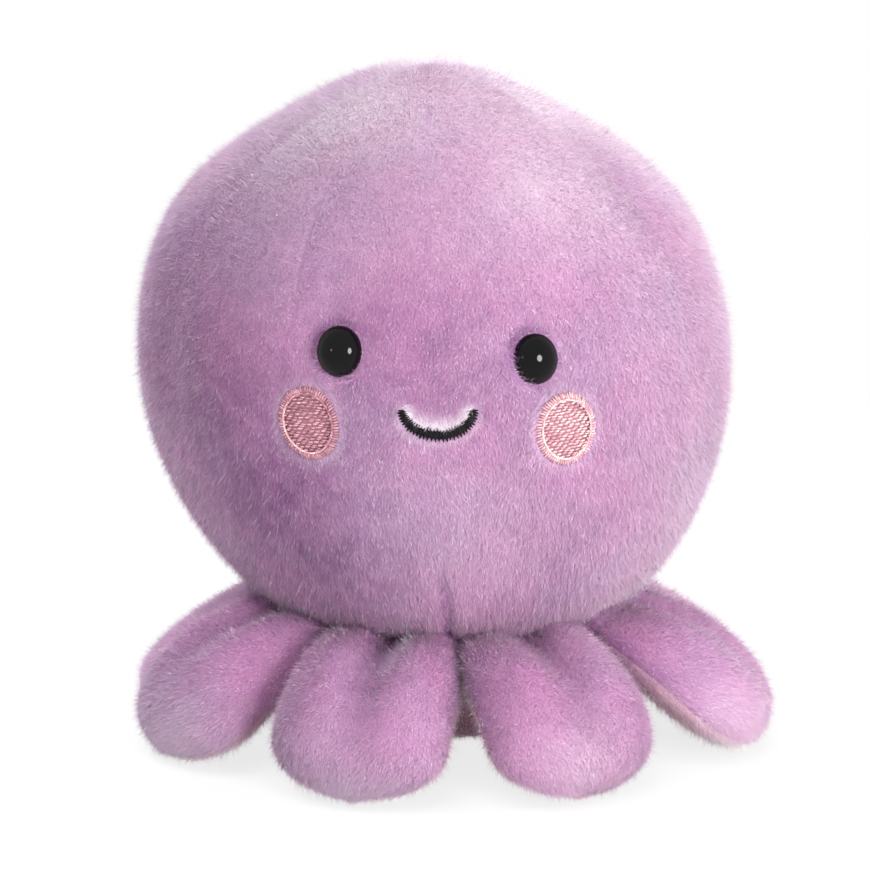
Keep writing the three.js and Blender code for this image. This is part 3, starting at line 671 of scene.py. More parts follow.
def scatter(surface, columns, rows, density, seed):
    """Roots spread evenly over a surface given by shares: points, normals, and directions along it."""
    rng = np.random.default_rng(seed)
    across, along = np.meshgrid(np.linspace(0, 1, columns + 1), np.linspace(0, 1, rows + 1), indexing="ij")
    points = surface(across.ravel(), along.ravel()).reshape(columns + 1, rows + 1, 3)
    along_way = np.gradient(points, axis=1)
    normals = unit(np.cross(np.gradient(points, axis=0), along_way))
    along_way = unit(along_way)
    one = points[1:, 1:] - points[:-1, :-1]
    two = points[:-1, 1:] - points[1:, :-1]
    area = np.linalg.norm(np.cross(one, two), axis=-1) / 2
    counts = np.floor(area * density * 1e6 + rng.random(area.shape)).astype(int).ravel()
    cell = np.repeat(np.arange(counts.size), counts)
    i, j = cell // rows, cell % rows
    s, t = rng.random(len(cell)), rng.random(len(cell))

    def between(grid):
        low = grid[i, j] * (1 - s)[:, None] + grid[i + 1, j] * s[:, None]
        high = grid[i, j + 1] * (1 - s)[:, None] + grid[i + 1, j + 1] * s[:, None]
        return low * (1 - t)[:, None] + high * t[:, None]

    shares = np.stack([(i + s) / columns, (j + t) / rows], axis=-1)
    return between(points), unit(between(normals)), unit(between(along_way)), shares


def turned_out(normals, roots, middle):
    """The same normals, or the opposite ones where those point away from the middle."""
    return -normals if np.mean(np.sum((roots - middle) * normals, axis=1)) < 0 else normals


def strands(roots, normals, combs, settings, seed, glints, lengths=1.0, leans=0.0, floor=None):
    """The three corners of each strand, and its shading normal. Shiny and stray strands stand up."""
    rng = np.random.default_rng(seed)
    count = len(roots)
    swirl = lattice_noise(roots, SWIRL_SIZE, seed + SWIRL_SEED)
    tuft = lattice_noise(roots, TUFT_SIZE, seed + TUFT_SEED)
    side = np.cross(normals, combs)
    turn = SWIRL_TURN * swirl[:, 0] + rng.normal(0, TURN_SPREAD, count)
    combs = combs * np.cos(turn)[:, None] + side * np.sin(turn)[:, None]
    shiny = glints > SHINY
    stray = (glints > STRAY) & ~shiny
    lean = settings.lean + leans + SWIRL_LEAN * swirl[:, 1] + rng.normal(0, LEAN_SPREAD, count)
    lean = np.clip(lean - SHINY_RISE * shiny - STRAY_RISE * stray, *LEAN_LIMITS)
    along = normals * np.cos(lean)[:, None] + combs * np.sin(lean)[:, None]
    size = settings.strand * lengths * np.clip(rng.normal(1, LENGTH_SPREAD, count), *LENGTH_LIMITS)
    size = size * (1 + STRAY_LONGER * stray - SHINY_SHORTER * shiny)
    tips = roots + along * size[:, None] + tuft * TUFT_SHIFT
    along = unit(tips - roots)
    blade = unit(np.cross(along, normals))
    edge = np.cross(along, blade)
    roll = rng.uniform(*ROLL_LIMITS, count)
    blade = blade * np.cos(roll)[:, None] + edge * np.sin(roll)[:, None]
    half = settings.width / 2 * rng.uniform(*WIDTH_LIMITS, count)
    half = blade * (half * (1 + SHINY_WIDER * shiny - STRAY_FINER * stray))[:, None]
    if floor is not None:
        tips[:, 2] = np.maximum(tips[:, 2], floor)
    unevenness = rng.normal(0, SHADING_SPREAD, (count, 3))
    shading = unit(normals * SURFACE_SHADING + along * STRAND_SHADING + unevenness)
    left, right = roots - half, roots + half
    inwards = np.sum(np.cross(right - left, tips - left) * shading, axis=1) < 0
    left[inwards], right[inwards] = right[inwards], left[inwards]
    return np.stack([left, right, tips], axis=1), shading


def pile_piece(name, corners, shading, tones):
    """One mesh of strands. tones holds each strand's glint, shade and paleness."""
    count = len(corners)
    mesh = bpy.data.meshes.new(name)
    mesh.vertices.add(count * 3)
    mesh.loops.add(count * 3)
    mesh.polygons.add(count)
    mesh.vertices.foreach_set("co", corners.astype(np.float32).ravel())
    mesh.loops.foreach_set("vertex_index", np.arange(count * 3, dtype=np.int32))
    mesh.polygons.foreach_set("loop_start", np.arange(0, count * 3, 3, dtype=np.int32))
    mesh.update()
    mesh.validate()
    values = np.empty((count, 3, 4), np.float32)
    values[:, :2, 0] = 0
    values[:, 2, 0] = 1
    values[:, :, 1:] = tones[:, None, :]
    mesh.attributes.new("pile", "FLOAT_COLOR", "POINT").data.foreach_set("color", values.ravel())
    normals = mesh.attributes.new("custom_normal", "FLOAT_VECTOR", "POINT")
    normals.data.foreach_set("vector", np.repeat(shading.astype(np.float32), 3, axis=0).ravel())
    columns = math.ceil(math.sqrt(count * CELL_HEIGHT))
    rows = math.ceil(count / columns)
    number = np.arange(count)
    cells = np.stack([number % columns, number // columns], axis=-1)[:, None, :]
    maps = (cells + np.array(STRAND_IN_CELL)) / np.array([columns, rows])
    mesh.uv_layers.new(name="OFBake").data.foreach_set("uv", maps.astype(np.float32).ravel())
    return new_piece(name, mesh)


# The tone of the pile: sizes of its patches and speckles, and how deep both and the ground are.
HEAD_PATCH, ARM_PATCH, SPECKLE = 0.017, 0.012, 0.0022
HEAD_GROUND, ARM_GROUND, PATCH_TONE, SPECKLE_TONE = 0.05, 0.04, 0.12, 0.14


def mottling(roots, patch_size, ground, seed):
    """The nap's patches and speckles, and the tone that they give it."""
    patch = lattice_noise(roots, patch_size, seed + PATCH_SEED)[:, 0]
    speckle = lattice_noise(roots, SPECKLE, seed + SPECKLE_SEED)[:, 0]
    return patch, speckle, ground + PATCH_TONE * patch + SPECKLE_TONE * speckle


def oval_distance(place, points, half_across, half_along):
    """Distance from an oval on the face, less than 0 inside, and the way out of it."""
    off = points - place["point"]
    across, along = off @ place["right"], off @ place["up"]
    share = np.hypot(across / half_across, along / half_along)
    distance = (share - 1) * min(half_across, half_along)
    behind_head, far_off = 0.02, 1.0
    distance = np.where(off @ place["out"] < -behind_head, far_off, distance)
    way = across[:, None] / half_across**2 * place["right"] + along[:, None] / half_along**2 * place["up"]
    return distance, unit(way)


def smile_curve(face, steps):
    """The smile's middle line in its tangent plane, the normals of the line and half its width."""
    taper = 0.38
    turn = np.linspace(-QUARTER, QUARTER, steps)
    middle = np.stack([face.smile_half_width * np.sin(turn), -face.smile_depth * np.cos(turn)], axis=-1)
    normal = np.stack([face.smile_depth * np.sin(turn), -face.smile_half_width * np.cos(turn)], axis=-1)
    half = face.smile_half_band * (1 - taper * np.linspace(-1, 1, steps) ** 2)
    return middle, unit(normal), half


def smile_distance(face, place, points):
    """Distance from the smile's band, the way out of it, and whether a point is inside its bow."""
    steps = 33
    off = points - place["point"]
    flat = np.stack([off @ place["right"], off @ place["up"]], axis=-1)
    middle, normal, half = smile_curve(face, steps)
    apart = np.linalg.norm(flat[:, None, :] - middle[None], axis=-1) - half[None]
    nearest = np.argmin(apart, axis=1)
    way = flat - middle[nearest]
    inside = np.sum(way * normal[nearest], axis=1) < 0
    heading = unit(way[:, :1] * place["right"] + way[:, 1:] * place["up"])
    return apart[np.arange(len(points)), nearest], heading, inside


class FaceNap:
    """How the face panel's pile lies round the eyes, the cheeks and the smile, and what of it is kept."""

    # Over each eye the pile hangs from above and from one side: how much from there, longer, steeper.
    brows = {"left": (0, 0.25, 0.5), "right": (0.8, 0.45, 0.7)}
    brow_from_above, brow_gain, brow_reach = 0.6, 1.3, 0.0007
    # Round each piece: how far strands are combed away and how strongly, and how much shorter they are.
    eye_comb, cheek_comb, smile_comb = (0.0014, 0.75), (0.0016, 0.5), (0.0012, 0.6)
    eye_trim, cheek_trim, smile_trim = 0.15, 0.30, 0.30
    # How far under its edge the pile still grows.
    eye_under, stitch_under = 0.0001, 0.0002
    # Painted shade above each eye, where the pile overhangs it, more to its left: reach and slant.
    lid_reach, lid_slant = 0.0014, 0.4
    # Pale rings round the cheeks, and painted sheen round the smile, strongest inside its bow: tones and
    # reaches.
    cheek_pale, cheek_ring = 0.24, 0.0013
    smile_pale, bow_pale, smile_ring, bow_ring, bow_widening = 0.3, 0.95, 0.0009, 0.0005, 0.0021
    # Painted shade in the creases past the smile's ends: how far past its ends, how deep, and how wide.
    corner_past, corner_tone, corner_width = 0.0008, 0.8, 0.0011
    # Strands further than this from the smile are left alone.
    smile_surround = 0.016

    def __init__(self, head, face, roots, normals, combs):
        self.head, self.face = head, face
        self.roots, self.normals, self.combs = roots, normals, combs
        self.keep = np.ones(len(roots), bool)
        self.lengths, self.leans = 1.0, 0.0
        self.pale, self.recess = np.zeros(len(roots)), np.zeros(len(roots))

    def tend(self):
        self.round_eyes()
        self.round_cheeks()
        self.round_smile()

    def comb_away(self, chosen, distance, heading, reach, strength):
        """Combs strands away from an edge that they are near, and tells how near each is."""
        near = strength * hill(np.maximum(distance, 0), reach)
        heading = along_surface(heading, self.normals[chosen])
        self.combs[chosen] = unit(self.combs[chosen] * (1 - near)[:, None] + heading * near[:, None])
        return near

    def round_eyes(self):
        everywhere, face = slice(None), self.face
        for side, where in EYES.items():
            place = self.head.place(*where)
            aside, longer, steeper = self.brows[side]
            distance, way = oval_distance(place, self.roots, face.eye_width / 2, face.eye_height / 2)
            toward = -way @ (place["right"] * aside + place["up"] * self.brow_from_above)
            over = np.clip(toward, 0, 1)[:, None]
            near = self.comb_away(everywhere, distance, way * (1 - over) - way * over, *self.eye_comb)
            self.keep &= distance > -self.eye_under
            self.lengths *= 1 - self.eye_trim * near
            brow = np.clip(self.brow_gain * toward, 0, 1) * hill(np.maximum(distance, 0), self.brow_reach)
            self.lengths += longer * brow
            self.leans -= steeper * brow
            # Painted shade above the eye.
            above = np.clip(way @ (place["up"] - self.lid_slant * place["right"]), 0, 1)
            self.recess = np.maximum(self.recess, above * hill(np.maximum(distance, 0), self.lid_reach))

    def round_cheeks(self):
        everywhere, face = slice(None), self.face
        for where in CHEEKS.values():
            place = self.head.place(*where)
            distance, way = oval_distance(place, self.roots, face.cheek_width / 2, face.cheek_height / 2)
            near = self.comb_away(everywhere, distance, way, *self.cheek_comb)
            self.keep &= distance > -self.stitch_under
            self.lengths *= 1 - self.cheek_trim * near
            ring = self.cheek_pale * hill(np.maximum(distance, 0), self.cheek_ring)
            self.pale = np.maximum(self.pale, ring)

    def round_smile(self):
        place, half_width = self.head.place(*SMILE), self.face.smile_half_width
        apart = np.linalg.norm(self.roots - place["point"], axis=1)
        close = np.flatnonzero(apart < self.smile_surround)
        distance, way, in_bow = smile_distance(self.face, place, self.roots[close])
        near = self.comb_away(close, distance, way, *self.smile_comb)
        self.keep[close] &= distance > -self.stitch_under
        self.lengths[close] *= 1 - self.smile_trim * near
        off = self.roots[close] - place["point"]
        central = np.clip(1 - (off @ place["right"] / half_width) ** 2, 0, 1)
        # Painted sheen on the pile round the smile, widest inside its bow.
        reach = np.where(in_bow, self.bow_ring + self.bow_widening * central, self.smile_ring)
        edge = np.exp(-((np.maximum(distance, 0) / reach) ** 4))
        ring = np.where(in_bow, self.bow_pale, self.smile_pale) * edge
        self.pale[close] = np.maximum(self.pale[close], ring)
        # Painted shade in the creases past both ends of the smile.
        for end in (-1, 1):
            past = off @ place["right"] - end * (half_width + self.corner_past)
            corner = self.corner_tone * hill(np.hypot(past, off @ place["up"]), self.corner_width)
            self.recess[close] = np.maximum(self.recess[close], corner)


# Materials

# Waves of a pattern for each metre.
NAP_WAVES, KNIT_WAVES, FIBRE_WAVES, POUCH_WAVES = 46.0, 2600.0, 700.0, 2400.0
WEAR_WAVES, TWIST_WAVES, DUST_WAVES, PEEL_WAVES = 1500.0, 5200.0, 380.0, 160.0
# Where the nap lies differently the pile is greyer or pinker: stops of a ramp.
NAP_STOPS = ((0.36, (0.95, 1.02, 1.0)), (0.5, (0.99, 0.99, 0.99)), (0.64, (1.03, 0.95, 0.99)))
# Shares of the middle colour in painted shade, and what makes the tips' colour pale for painted sheen and
# light.
DEEP_SHARES = (0.44, 0.29, 0.52)
PALE_SHARE, PALE_LIFT = 0.30, 0.68
# Single strands differ in brightness, from the least by this much, and let this share of light through.
LEAST_BRIGHT, BRIGHTER = 0.90, 0.22
LIGHT_THROUGH = 0.28
# The lavender backing's share of the pile's middle colour, and what a weave takes off a cloth's colour.
BACKING_SHARE, WEAVE_SHARE = 0.85, 0.75
# Colours that nobody would change: inside the octopus, and of the threads in painted shade and in painted
# light.
FIBRE_WHITE, COTTON = (0.86, 0.85, 0.82), (0.78, 0.74, 0.66)
WASHER_WHITE, PELLET_GREY = (0.80, 0.80, 0.77), (0.70, 0.73, 0.76)
CHEEK_DEEP, CHEEK_PALE = (0.24, 0.09, 0.12), (0.77, 0.61, 0.57)
SMILE_DEEP, SMILE_PALE = (0.002, 0.002, 0.002), (0.018, 0.017, 0.019)


def plug(tree, socket, value):
    """Links a socket to another, or sets it to a number or a colour."""
    if isinstance(value, bpy.types.NodeSocket):
        tree.links.new(value, socket)
    elif isinstance(value, (int, float)):
        socket.default_value = value
    else:
        socket.default_value = (*value, 1)


def new_node(tree, kind, **inputs):
    """A shader node with its inputs by name, an underscore for each space."""
    node = tree.nodes.new(f"ShaderNode{kind}")
    for key, value in inputs.items():
        plug(tree, node.inputs[key.replace("_", " ")], value)
    return node


def new_material(name, **inputs):
    """A material, its node tree, its shader and the Object coordinates."""
    material = bpy.data.materials.new(name)
    material.use_nodes = True
    tree = material.node_tree
    shader = tree.nodes["Principled BSDF"]
    for key, value in inputs.items():
        plug(tree, shader.inputs[key.replace("_", " ")], value)
    return material, tree, shader, new_node(tree, "TexCoord").outputs["Object"]


def ramp(tree, share, *stops):
    """A colour between stops, each a place and a colour."""
    node = new_node(tree, "ValToRGB", Fac=share)
    elements = node.color_ramp.elements
    for number, (place, value) in ((0, stops[0]), (1, stops[-1])):
        elements[number].position = place
        elements[number].color = (*value, 1)
    for place, value in stops[1:-1]:
        elements.new(place).color = (*value, 1)
    return node.outputs["Color"]


def mix(tree, kind, share, one, two):
    """A Mix of two colours, each a socket or a colour, by a socket or a number."""
    node = tree.nodes.new("ShaderNodeMix")
    node.data_type = "RGBA"
    node.blend_type = kind
    share_input, one_input, two_input, colour_output = 0, 6, 7, 2
    for at, value in ((share_input, share), (one_input, one), (two_input, two)):
        plug(tree, node.inputs[at], value)
    return node.outputs[colour_output]


def arithmetic(tree, kind, *values, limit=False):
    """The result of a Math node."""
    node = tree.nodes.new("ShaderNodeMath")
    node.operation = kind
    node.use_clamp = limit
    for socket, value in zip(node.inputs, values):
        plug(tree, socket, value)
    return node.outputs[0]


def mix_shaders(tree, share, one, two):
    node = new_node(tree, "MixShader", Fac=share)
    tree.links.new(one.outputs[0], node.inputs[1])
    tree.links.new(two.outputs[0], node.inputs[2])
    return node


def attribute_of(tree, name):
    node = tree.nodes.new("ShaderNodeAttribute")
    node.attribute_name = name
    return node


def noise(tree, coordinates, scale, detail=2.0, roughness=0.5):
    node = new_node(tree, "TexNoise", Vector=coordinates, Scale=scale, Detail=detail, Roughness=roughness)
    return node.outputs["Fac"]


def bump(tree, shader, height, strength, distance):
    node = new_node(tree, "Bump", Height=height, Strength=strength, Distance=distance)
    tree.links.new(node.outputs["Normal"], shader.inputs["Normal"])


def nap_tones(tree, coordinates):
    """Broad soft patches where the nap lies differently: greyer here, pinker there."""
    return ramp(tree, noise(tree, coordinates, NAP_WAVES, detail=3.0, roughness=0.55), *NAP_STOPS)


def pile_material(name, root, middle, tip, glint):
    """Strands that let light through: deep at the root, partly as painted shade, pale at the tip, with single
    shiny ones.
    """
    _, tree, shader, coordinates = new_material(
        name, Roughness=0.6, Specular_IOR_Level=0.30, Sheen_Weight=0.75, Sheen_Roughness=0.35
    )
    attribute = attribute_of(tree, "pile")
    parts = new_node(tree, "SeparateColor", Color=attribute.outputs["Color"])
    upwards, glints, depth = (parts.outputs[channel] for channel in ("Red", "Green", "Blue"))
    shades = ramp(tree, upwards, (0.0, root), (0.5, middle), (1.0, tip))
    toned = mix(tree, "MULTIPLY", 1.0, shades, nap_tones(tree, coordinates))
    bright = arithmetic(tree, "MULTIPLY_ADD", glints, BRIGHTER, LEAST_BRIGHT)
    toned = mix(tree, "MULTIPLY", 1.0, toned, bright)
    deep = tuple(share * part for share, part in zip(DEEP_SHARES, middle))
    # Painted shade and random mottling, by the third channel of the pile attribute.
    shaded = mix(tree, "MIX", depth, toned, deep)
    pale = tuple(min(1.0, PALE_SHARE * part + PALE_LIFT) for part in tip)
    # Paleness, mostly painted sheen and painted light.
    whitened = mix(tree, "MIX", attribute.outputs["Alpha"], shaded, pale)
    # Painted highlight: the shiny strands' tips take the glint colour.
    shiny = arithmetic(tree, "MULTIPLY", arithmetic(tree, "GREATER_THAN", glints, SHINY), upwards)
    shown = mix(tree, "MIX", shiny, whitened, glint)
    plug(tree, shader.inputs["Base Color"], shown)
    both = mix_shaders(tree, LIGHT_THROUGH, shader, new_node(tree, "BsdfTranslucent", Color=shown))
    tree.links.new(both.outputs[0], tree.nodes["Material Output"].inputs["Surface"])


def cloth_material(name, base, weave, napped=False):
    """Knitted backing cloth with a fine weave. A napped one shows between the strands of the pile."""
    _, tree, shader, coordinates = new_material(name, Roughness=0.9, Sheen_Weight=0.3)
    fine = noise(tree, coordinates, weave)
    shown = ramp(tree, fine, (0.3, tuple(WEAVE_SHARE * part for part in base)), (0.7, base))
    if napped:
        shown = mix(tree, "MULTIPLY", 1.0, shown, nap_tones(tree, coordinates))
    plug(tree, shader.inputs["Base Color"], shown)
    bump(tree, shader, fine, strength=0.4, distance=0.0002)


def thread_material(name, deep, base, pale, shine):
    """Twisted satin thread. The attribute thread_tone runs from deep colour to pale."""
    _, tree, shader, coordinates = new_material(name, Roughness=0.45, Specular_IOR_Level=shine)
    wear = arithmetic(tree, "MULTIPLY_ADD", noise(tree, coordinates, WEAR_WAVES), 0.5, -0.25)
    tone = arithmetic(tree, "ADD", attribute_of(tree, "thread_tone").outputs["Fac"], wear, limit=True)
    plug(tree, shader.inputs["Base Color"], ramp(tree, tone, (0.0, deep), (0.45, base), (1.0, pale)))
    bump(tree, shader, noise(tree, coordinates, TWIST_WAVES), strength=0.5, distance=0.00006)


def plastic_material(name, base, roughness, shine):
    """Moulded plastic with a faint orange peel and fine dust."""
    _, tree, shader, coordinates = new_material(name, Specular_IOR_Level=shine)
    dust = noise(tree, coordinates, DUST_WAVES, detail=4.0)
    dusty = tuple(min(1, part * 1.25 + 0.0006) for part in base)
    plug(tree, shader.inputs["Base Color"], ramp(tree, dust, (0.35, base), (0.75, dusty)))
    plug(tree, shader.inputs["Roughness"], arithmetic(tree, "MULTIPLY_ADD", dust, 0.06, roughness))
    peel = noise(tree, coordinates, PEEL_WAVES, detail=1.0)
    bump(tree, shader, peel, strength=0.03, distance=0.0002)


def finishes():
    """The object's materials, made once and then found by their names."""
    pile, face = bpy.context.scene.octopus_pile, bpy.context.scene.octopus_face
    if "lavender_pile" not in bpy.data.materials:
        pile_material("lavender_pile", pile.root[:], pile.middle[:], pile.tip[:], pile.glint[:])
        halfway = tuple((a + b) / 2 for a, b in zip(pile.pink_root, pile.pink_tip))
        pile_material("pink_pile", pile.pink_root[:], halfway, pile.pink_tip[:], pile.glint[:])
        lavender = tuple(BACKING_SHARE * part for part in pile.middle)
        cloth_material("lavender_backing", lavender, KNIT_WAVES, napped=True)
        cloth_material("pink_backing", pile.pink_root[:], KNIT_WAVES)
        cloth_material("filling_fibre", FIBRE_WHITE, FIBRE_WAVES)
        cloth_material("pouch_cloth", COTTON, POUCH_WAVES)
        blush, black = face.cheek_thread[:], face.smile_thread[:]
        thread_material("cheek_stitching", CHEEK_DEEP, blush, CHEEK_PALE, shine=0.25)
        thread_material("smile_stitching", SMILE_DEEP, black, SMILE_PALE, shine=0.12)
        plastic_material("eye_moulding", face.eye_colour[:], roughness=0.03, shine=0.18)
        plastic_material("washer_moulding", WASHER_WHITE, roughness=0.42, shine=0.5)
        plastic_material("pellet_plastic", PELLET_GREY, roughness=0.35, shine=0.5)
    return bpy.data.materials


# The head's covers

# A panel's backing has this many columns for each 5 degrees, and this many rows.
BACKING_COLUMNS, BACKING_ROWS = 6, 96
# Cells in which the pile is spread: columns for each degree, and rows.
PILE_COLUMNS, PILE_ROWS = 2, 220
# The nap is combed down, and in front also towards the middle: how much, and from which depth fully.
COMBED_INWARDS, FRONT_DEPTH = 1.4, 0.02
# The nap parts at the darts: how much and how wide. Their line is narrow and thinned by this share.
PARTED, PARTED_WIDTH, SEAM_LINE, DART_THINNING = 1.1, 0.0014, 0.0004, 0.25
# Painted shade: in darts and by the eyes, the share of it in a panel's seam, and near the neck seam.
SEAM_TONE, PANEL_SEAM_SHARE, NECK_TONE, NECK_REACH = 0.8, 0.06, 0.5, 0.0016
# How much the speckles vary the painted shade patches, and the patches vary the painted sheen and light.
DEEP_VARIATION, PALE_VARIATION = 0.4, 0.6
# Painted sheen on the crown, from one height to another, a little more so on its right.
CROWN_PAINTED_SHEEN, CROWN_FROM, CROWN_TO, CROWN_SLANT = 0.80, 0.082, 0.128, 0.08
# Painted sheen also lies on a wide rim round the face and fades out to the lower left: its middle's height,
# how flat its oval is, and where it starts and is full.
RIM_PAINTED_SHEEN, RIM_HEIGHT, RIM_FLATNESS, RIM_BAND = 0.30, 0.062, 0.7, (0.020, 0.052)
RIM_SLANT, RIM_SIDE = 0.8, (-0.035, 0.010)


class OCTOPUS_OT_head_covers(bpy.types.Operator):
    """Lays the five backing panels of the head, sewn edge to edge"""

    bl_idname = "octopus.head_covers"
    bl_label = "Head Covers"

    def execute(self, context):
        head, pile = head_shape(), context.scene.octopus_pile
        centre = np.array([0, 0, head.sizes.equator_height])
        for name, (node, start, end) in PANELS.items():
            columns = (end - start) * BACKING_COLUMNS // 5
            surface = head.panel(start, end, pile.height)
            cover = sheet_on(f"{name}_backing", columns, BACKING_ROWS, surface, centre)
            finish_with(cover, "SOLIDIFY", thickness=head.sizes.wall, offset=-1, use_even_offset=True)
            smooth(cover)
            settle(cover, "lavender_backing", "lavender_plush", node)
        return {"FINISHED"}


class OCTOPUS_OT_head_pile(bpy.types.Operator):
    """Grows the head's pile, combed down, with room for the face"""

    bl_idname = "octopus.head_pile"
    bl_label = "Head Pile"

    def execute(self, context):
        head, pile, face = head_shape(), context.scene.octopus_pile, context.scene.octopus_face
        for number, (name, (_, start, end)) in enumerate(PANELS.items()):
            seed = HEAD_SEEDS[0] + HEAD_SEEDS[1] * number
            surface = head.panel(start, end, pile.height)
            columns = (end - start) * PILE_COLUMNS
            roots, normals, up, shares = scatter(surface, columns, PILE_ROWS, pile.density, seed)
            angles = head.angles(start, end, shares[:, 0], shares[:, 1])
            panel, dart, _ = head.seams(*angles, SEAM_LINE)
            rng = np.random.default_rng(seed + GLINT_SEED)
            kept = rng.random(len(roots)) > DART_THINNING * dart
            nap = FaceNap(head, face, roots, normals, self.combed(head, roots, normals, up, angles))
            if name == "face_panel":
                nap.tend()
            glints = rng.random(len(roots))
            corners, shading = strands(roots, normals, nap.combs, pile, seed, glints, nap.lengths, nap.leans)
            seam = np.maximum(panel * PANEL_SEAM_SHARE, np.minimum(dart, 1))
            tones = np.stack([glints, *self.shade_and_paleness(head, nap, seam, seed)], axis=-1)
            upper = (shares[:, 1] > 0.5) & (name == "face_panel")
            for label, part in ((f"{name}_pile", ~upper), (f"{name}_pile_top", upper)):
                chosen = nap.keep & kept & part
                if chosen.any():
                    grown = pile_piece(label, corners[chosen], shading[chosen], tones[chosen])
                    settle(grown, "lavender_pile", "lavender_plush")
        return {"FINISHED"}

    def combed(self, head, roots, normals, up, angles):
        """The way of the nap: down, towards the middle of the face, and away from the darts."""
        inwards = np.zeros_like(roots)
        inwards[:, 0] = -COMBED_INWARDS * roots[:, 0] / head.sizes.half_width
        inwards[:, 0] *= smooth_step(-roots[:, 1], 0, FRONT_DEPTH)
        combs = along_surface(inwards - up, normals)
        azimuth = angles[0]
        right = np.stack([np.cos(azimuth), np.sin(azimuth), np.zeros_like(azimuth)], axis=-1)
        return unit(combs + right * PARTED * head.parting(*angles, PARTED_WIDTH)[:, None])

    def shade_and_paleness(self, head, nap, seam, seed):
        roots = nap.roots
        across, height = roots[:, 0], roots[:, 2]
        patch, speckle, shade = mottling(roots, HEAD_PATCH, HEAD_GROUND, seed)
        # Painted shade in the darts and seams, above the eyes, past the smile's corners and along the neck
        # seam.
        shade = shade + SEAM_TONE * np.maximum(seam, nap.recess)
        shade += NECK_TONE * hill(np.maximum(height - head.sizes.neck_height, 0), NECK_REACH)
        # Painted shade at a few places on the face.
        for where, tone, wide in PAINTED_SHADE_PATCHES:
            off = np.linalg.norm(roots - head.place(*where)["point"], axis=1)
            shade += tone * (1 + DEEP_VARIATION * speckle) * hill(off, wide)
        # Painted sheen on the crown.
        crown = CROWN_PAINTED_SHEEN * smooth_step(height + CROWN_SLANT * across, CROWN_FROM, CROWN_TO)
        # Painted light on the chin.
        where, tone, wide = CHIN_PAINTED_LIGHT
        chin = tone * hill(np.linalg.norm(roots - head.place(*where)["point"], axis=1), wide)
        # Painted sheen on a rim round the face, fading out to the lower left.
        off = np.hypot(across, RIM_FLATNESS * (height - RIM_HEIGHT))
        rim = RIM_PAINTED_SHEEN * smooth_step(off, *RIM_BAND)
        rim *= smooth_step(across + RIM_SLANT * (height - RIM_HEIGHT), *RIM_SIDE)
        # Painted sheen and painted light, varied by the patches.
        lightening = np.clip(np.maximum.reduce([crown, rim, chin]) * (1 + PALE_VARIATION * patch), 0, 1)
        return np.clip(shade, 0, 1), np.maximum(nap.pale, lightening)


# The arms' covers

# Rows and columns of a panel's backing and of its cells for the pile, and the backing's thinner wall.
ARM_BACKING_CELLS, ARM_PILE_CELLS, ARM_WALL_SHARE = 28, 90, 0.6
# Distance from the root to the second point that arm_span gives.
BLEND_LENGTH = 0.008
# Length of the strands on each side, and how much more upright they are than on the head.
ARM_STRAND_SHARES, ARM_RISE = {1: 0.95, -1: 1.05}, 0.05
# Painted shade: at the root, along both sides near it, and in the pleat for each metre of its depth.
ROOT_TONE, ROOT_REACH, SIDE_TONE, PLEAT_TONE = 0.7, 0.0035, 0.5, 60
SIDE_BAND, SIDE_END = (0.72, 0.95), (0.008, 0.022)
# Paleness towards the tip.
TIP_PALE, TIP_BAND = 0.22, (0.016, 0.034)


def arm_span(arm):
    """Two points on an arm's middle line: at its root, and BLEND_LENGTH out along it."""
    return tuple(arm.middle(0.0)), tuple(arm.middle(BLEND_LENGTH))


class OCTOPUS_OT_arm_covers(bpy.types.Operator):
    """Lays the top and underside panels of the eight arms"""

    bl_idname = "octopus.arm_covers"
    bl_label = "Arm Covers"

    def execute(self, context):
        pile, wall = context.scene.octopus_pile, context.scene.octopus_head.wall
        for number in range(1, len(ARMS) + 1):
            arm = arm_shape(number)
            for side, part, look, slot in ARM_SIDES:
                name, surface = f"arm_{number}_{part}", arm.face(side, pile.height)
                cells = ARM_BACKING_CELLS
                cover = sheet_on(f"{name}_backing", cells, cells, surface, arm.inside(side))
                finish_with(cover, "SOLIDIFY", thickness=ARM_WALL_SHARE * wall, offset=-1)
                smooth(cover)
                settle(cover, f"{look}_backing", slot, f"{name}_panel", body=None)
                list(arm_span(arm))
                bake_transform(cover)
        return {"FINISHED"}


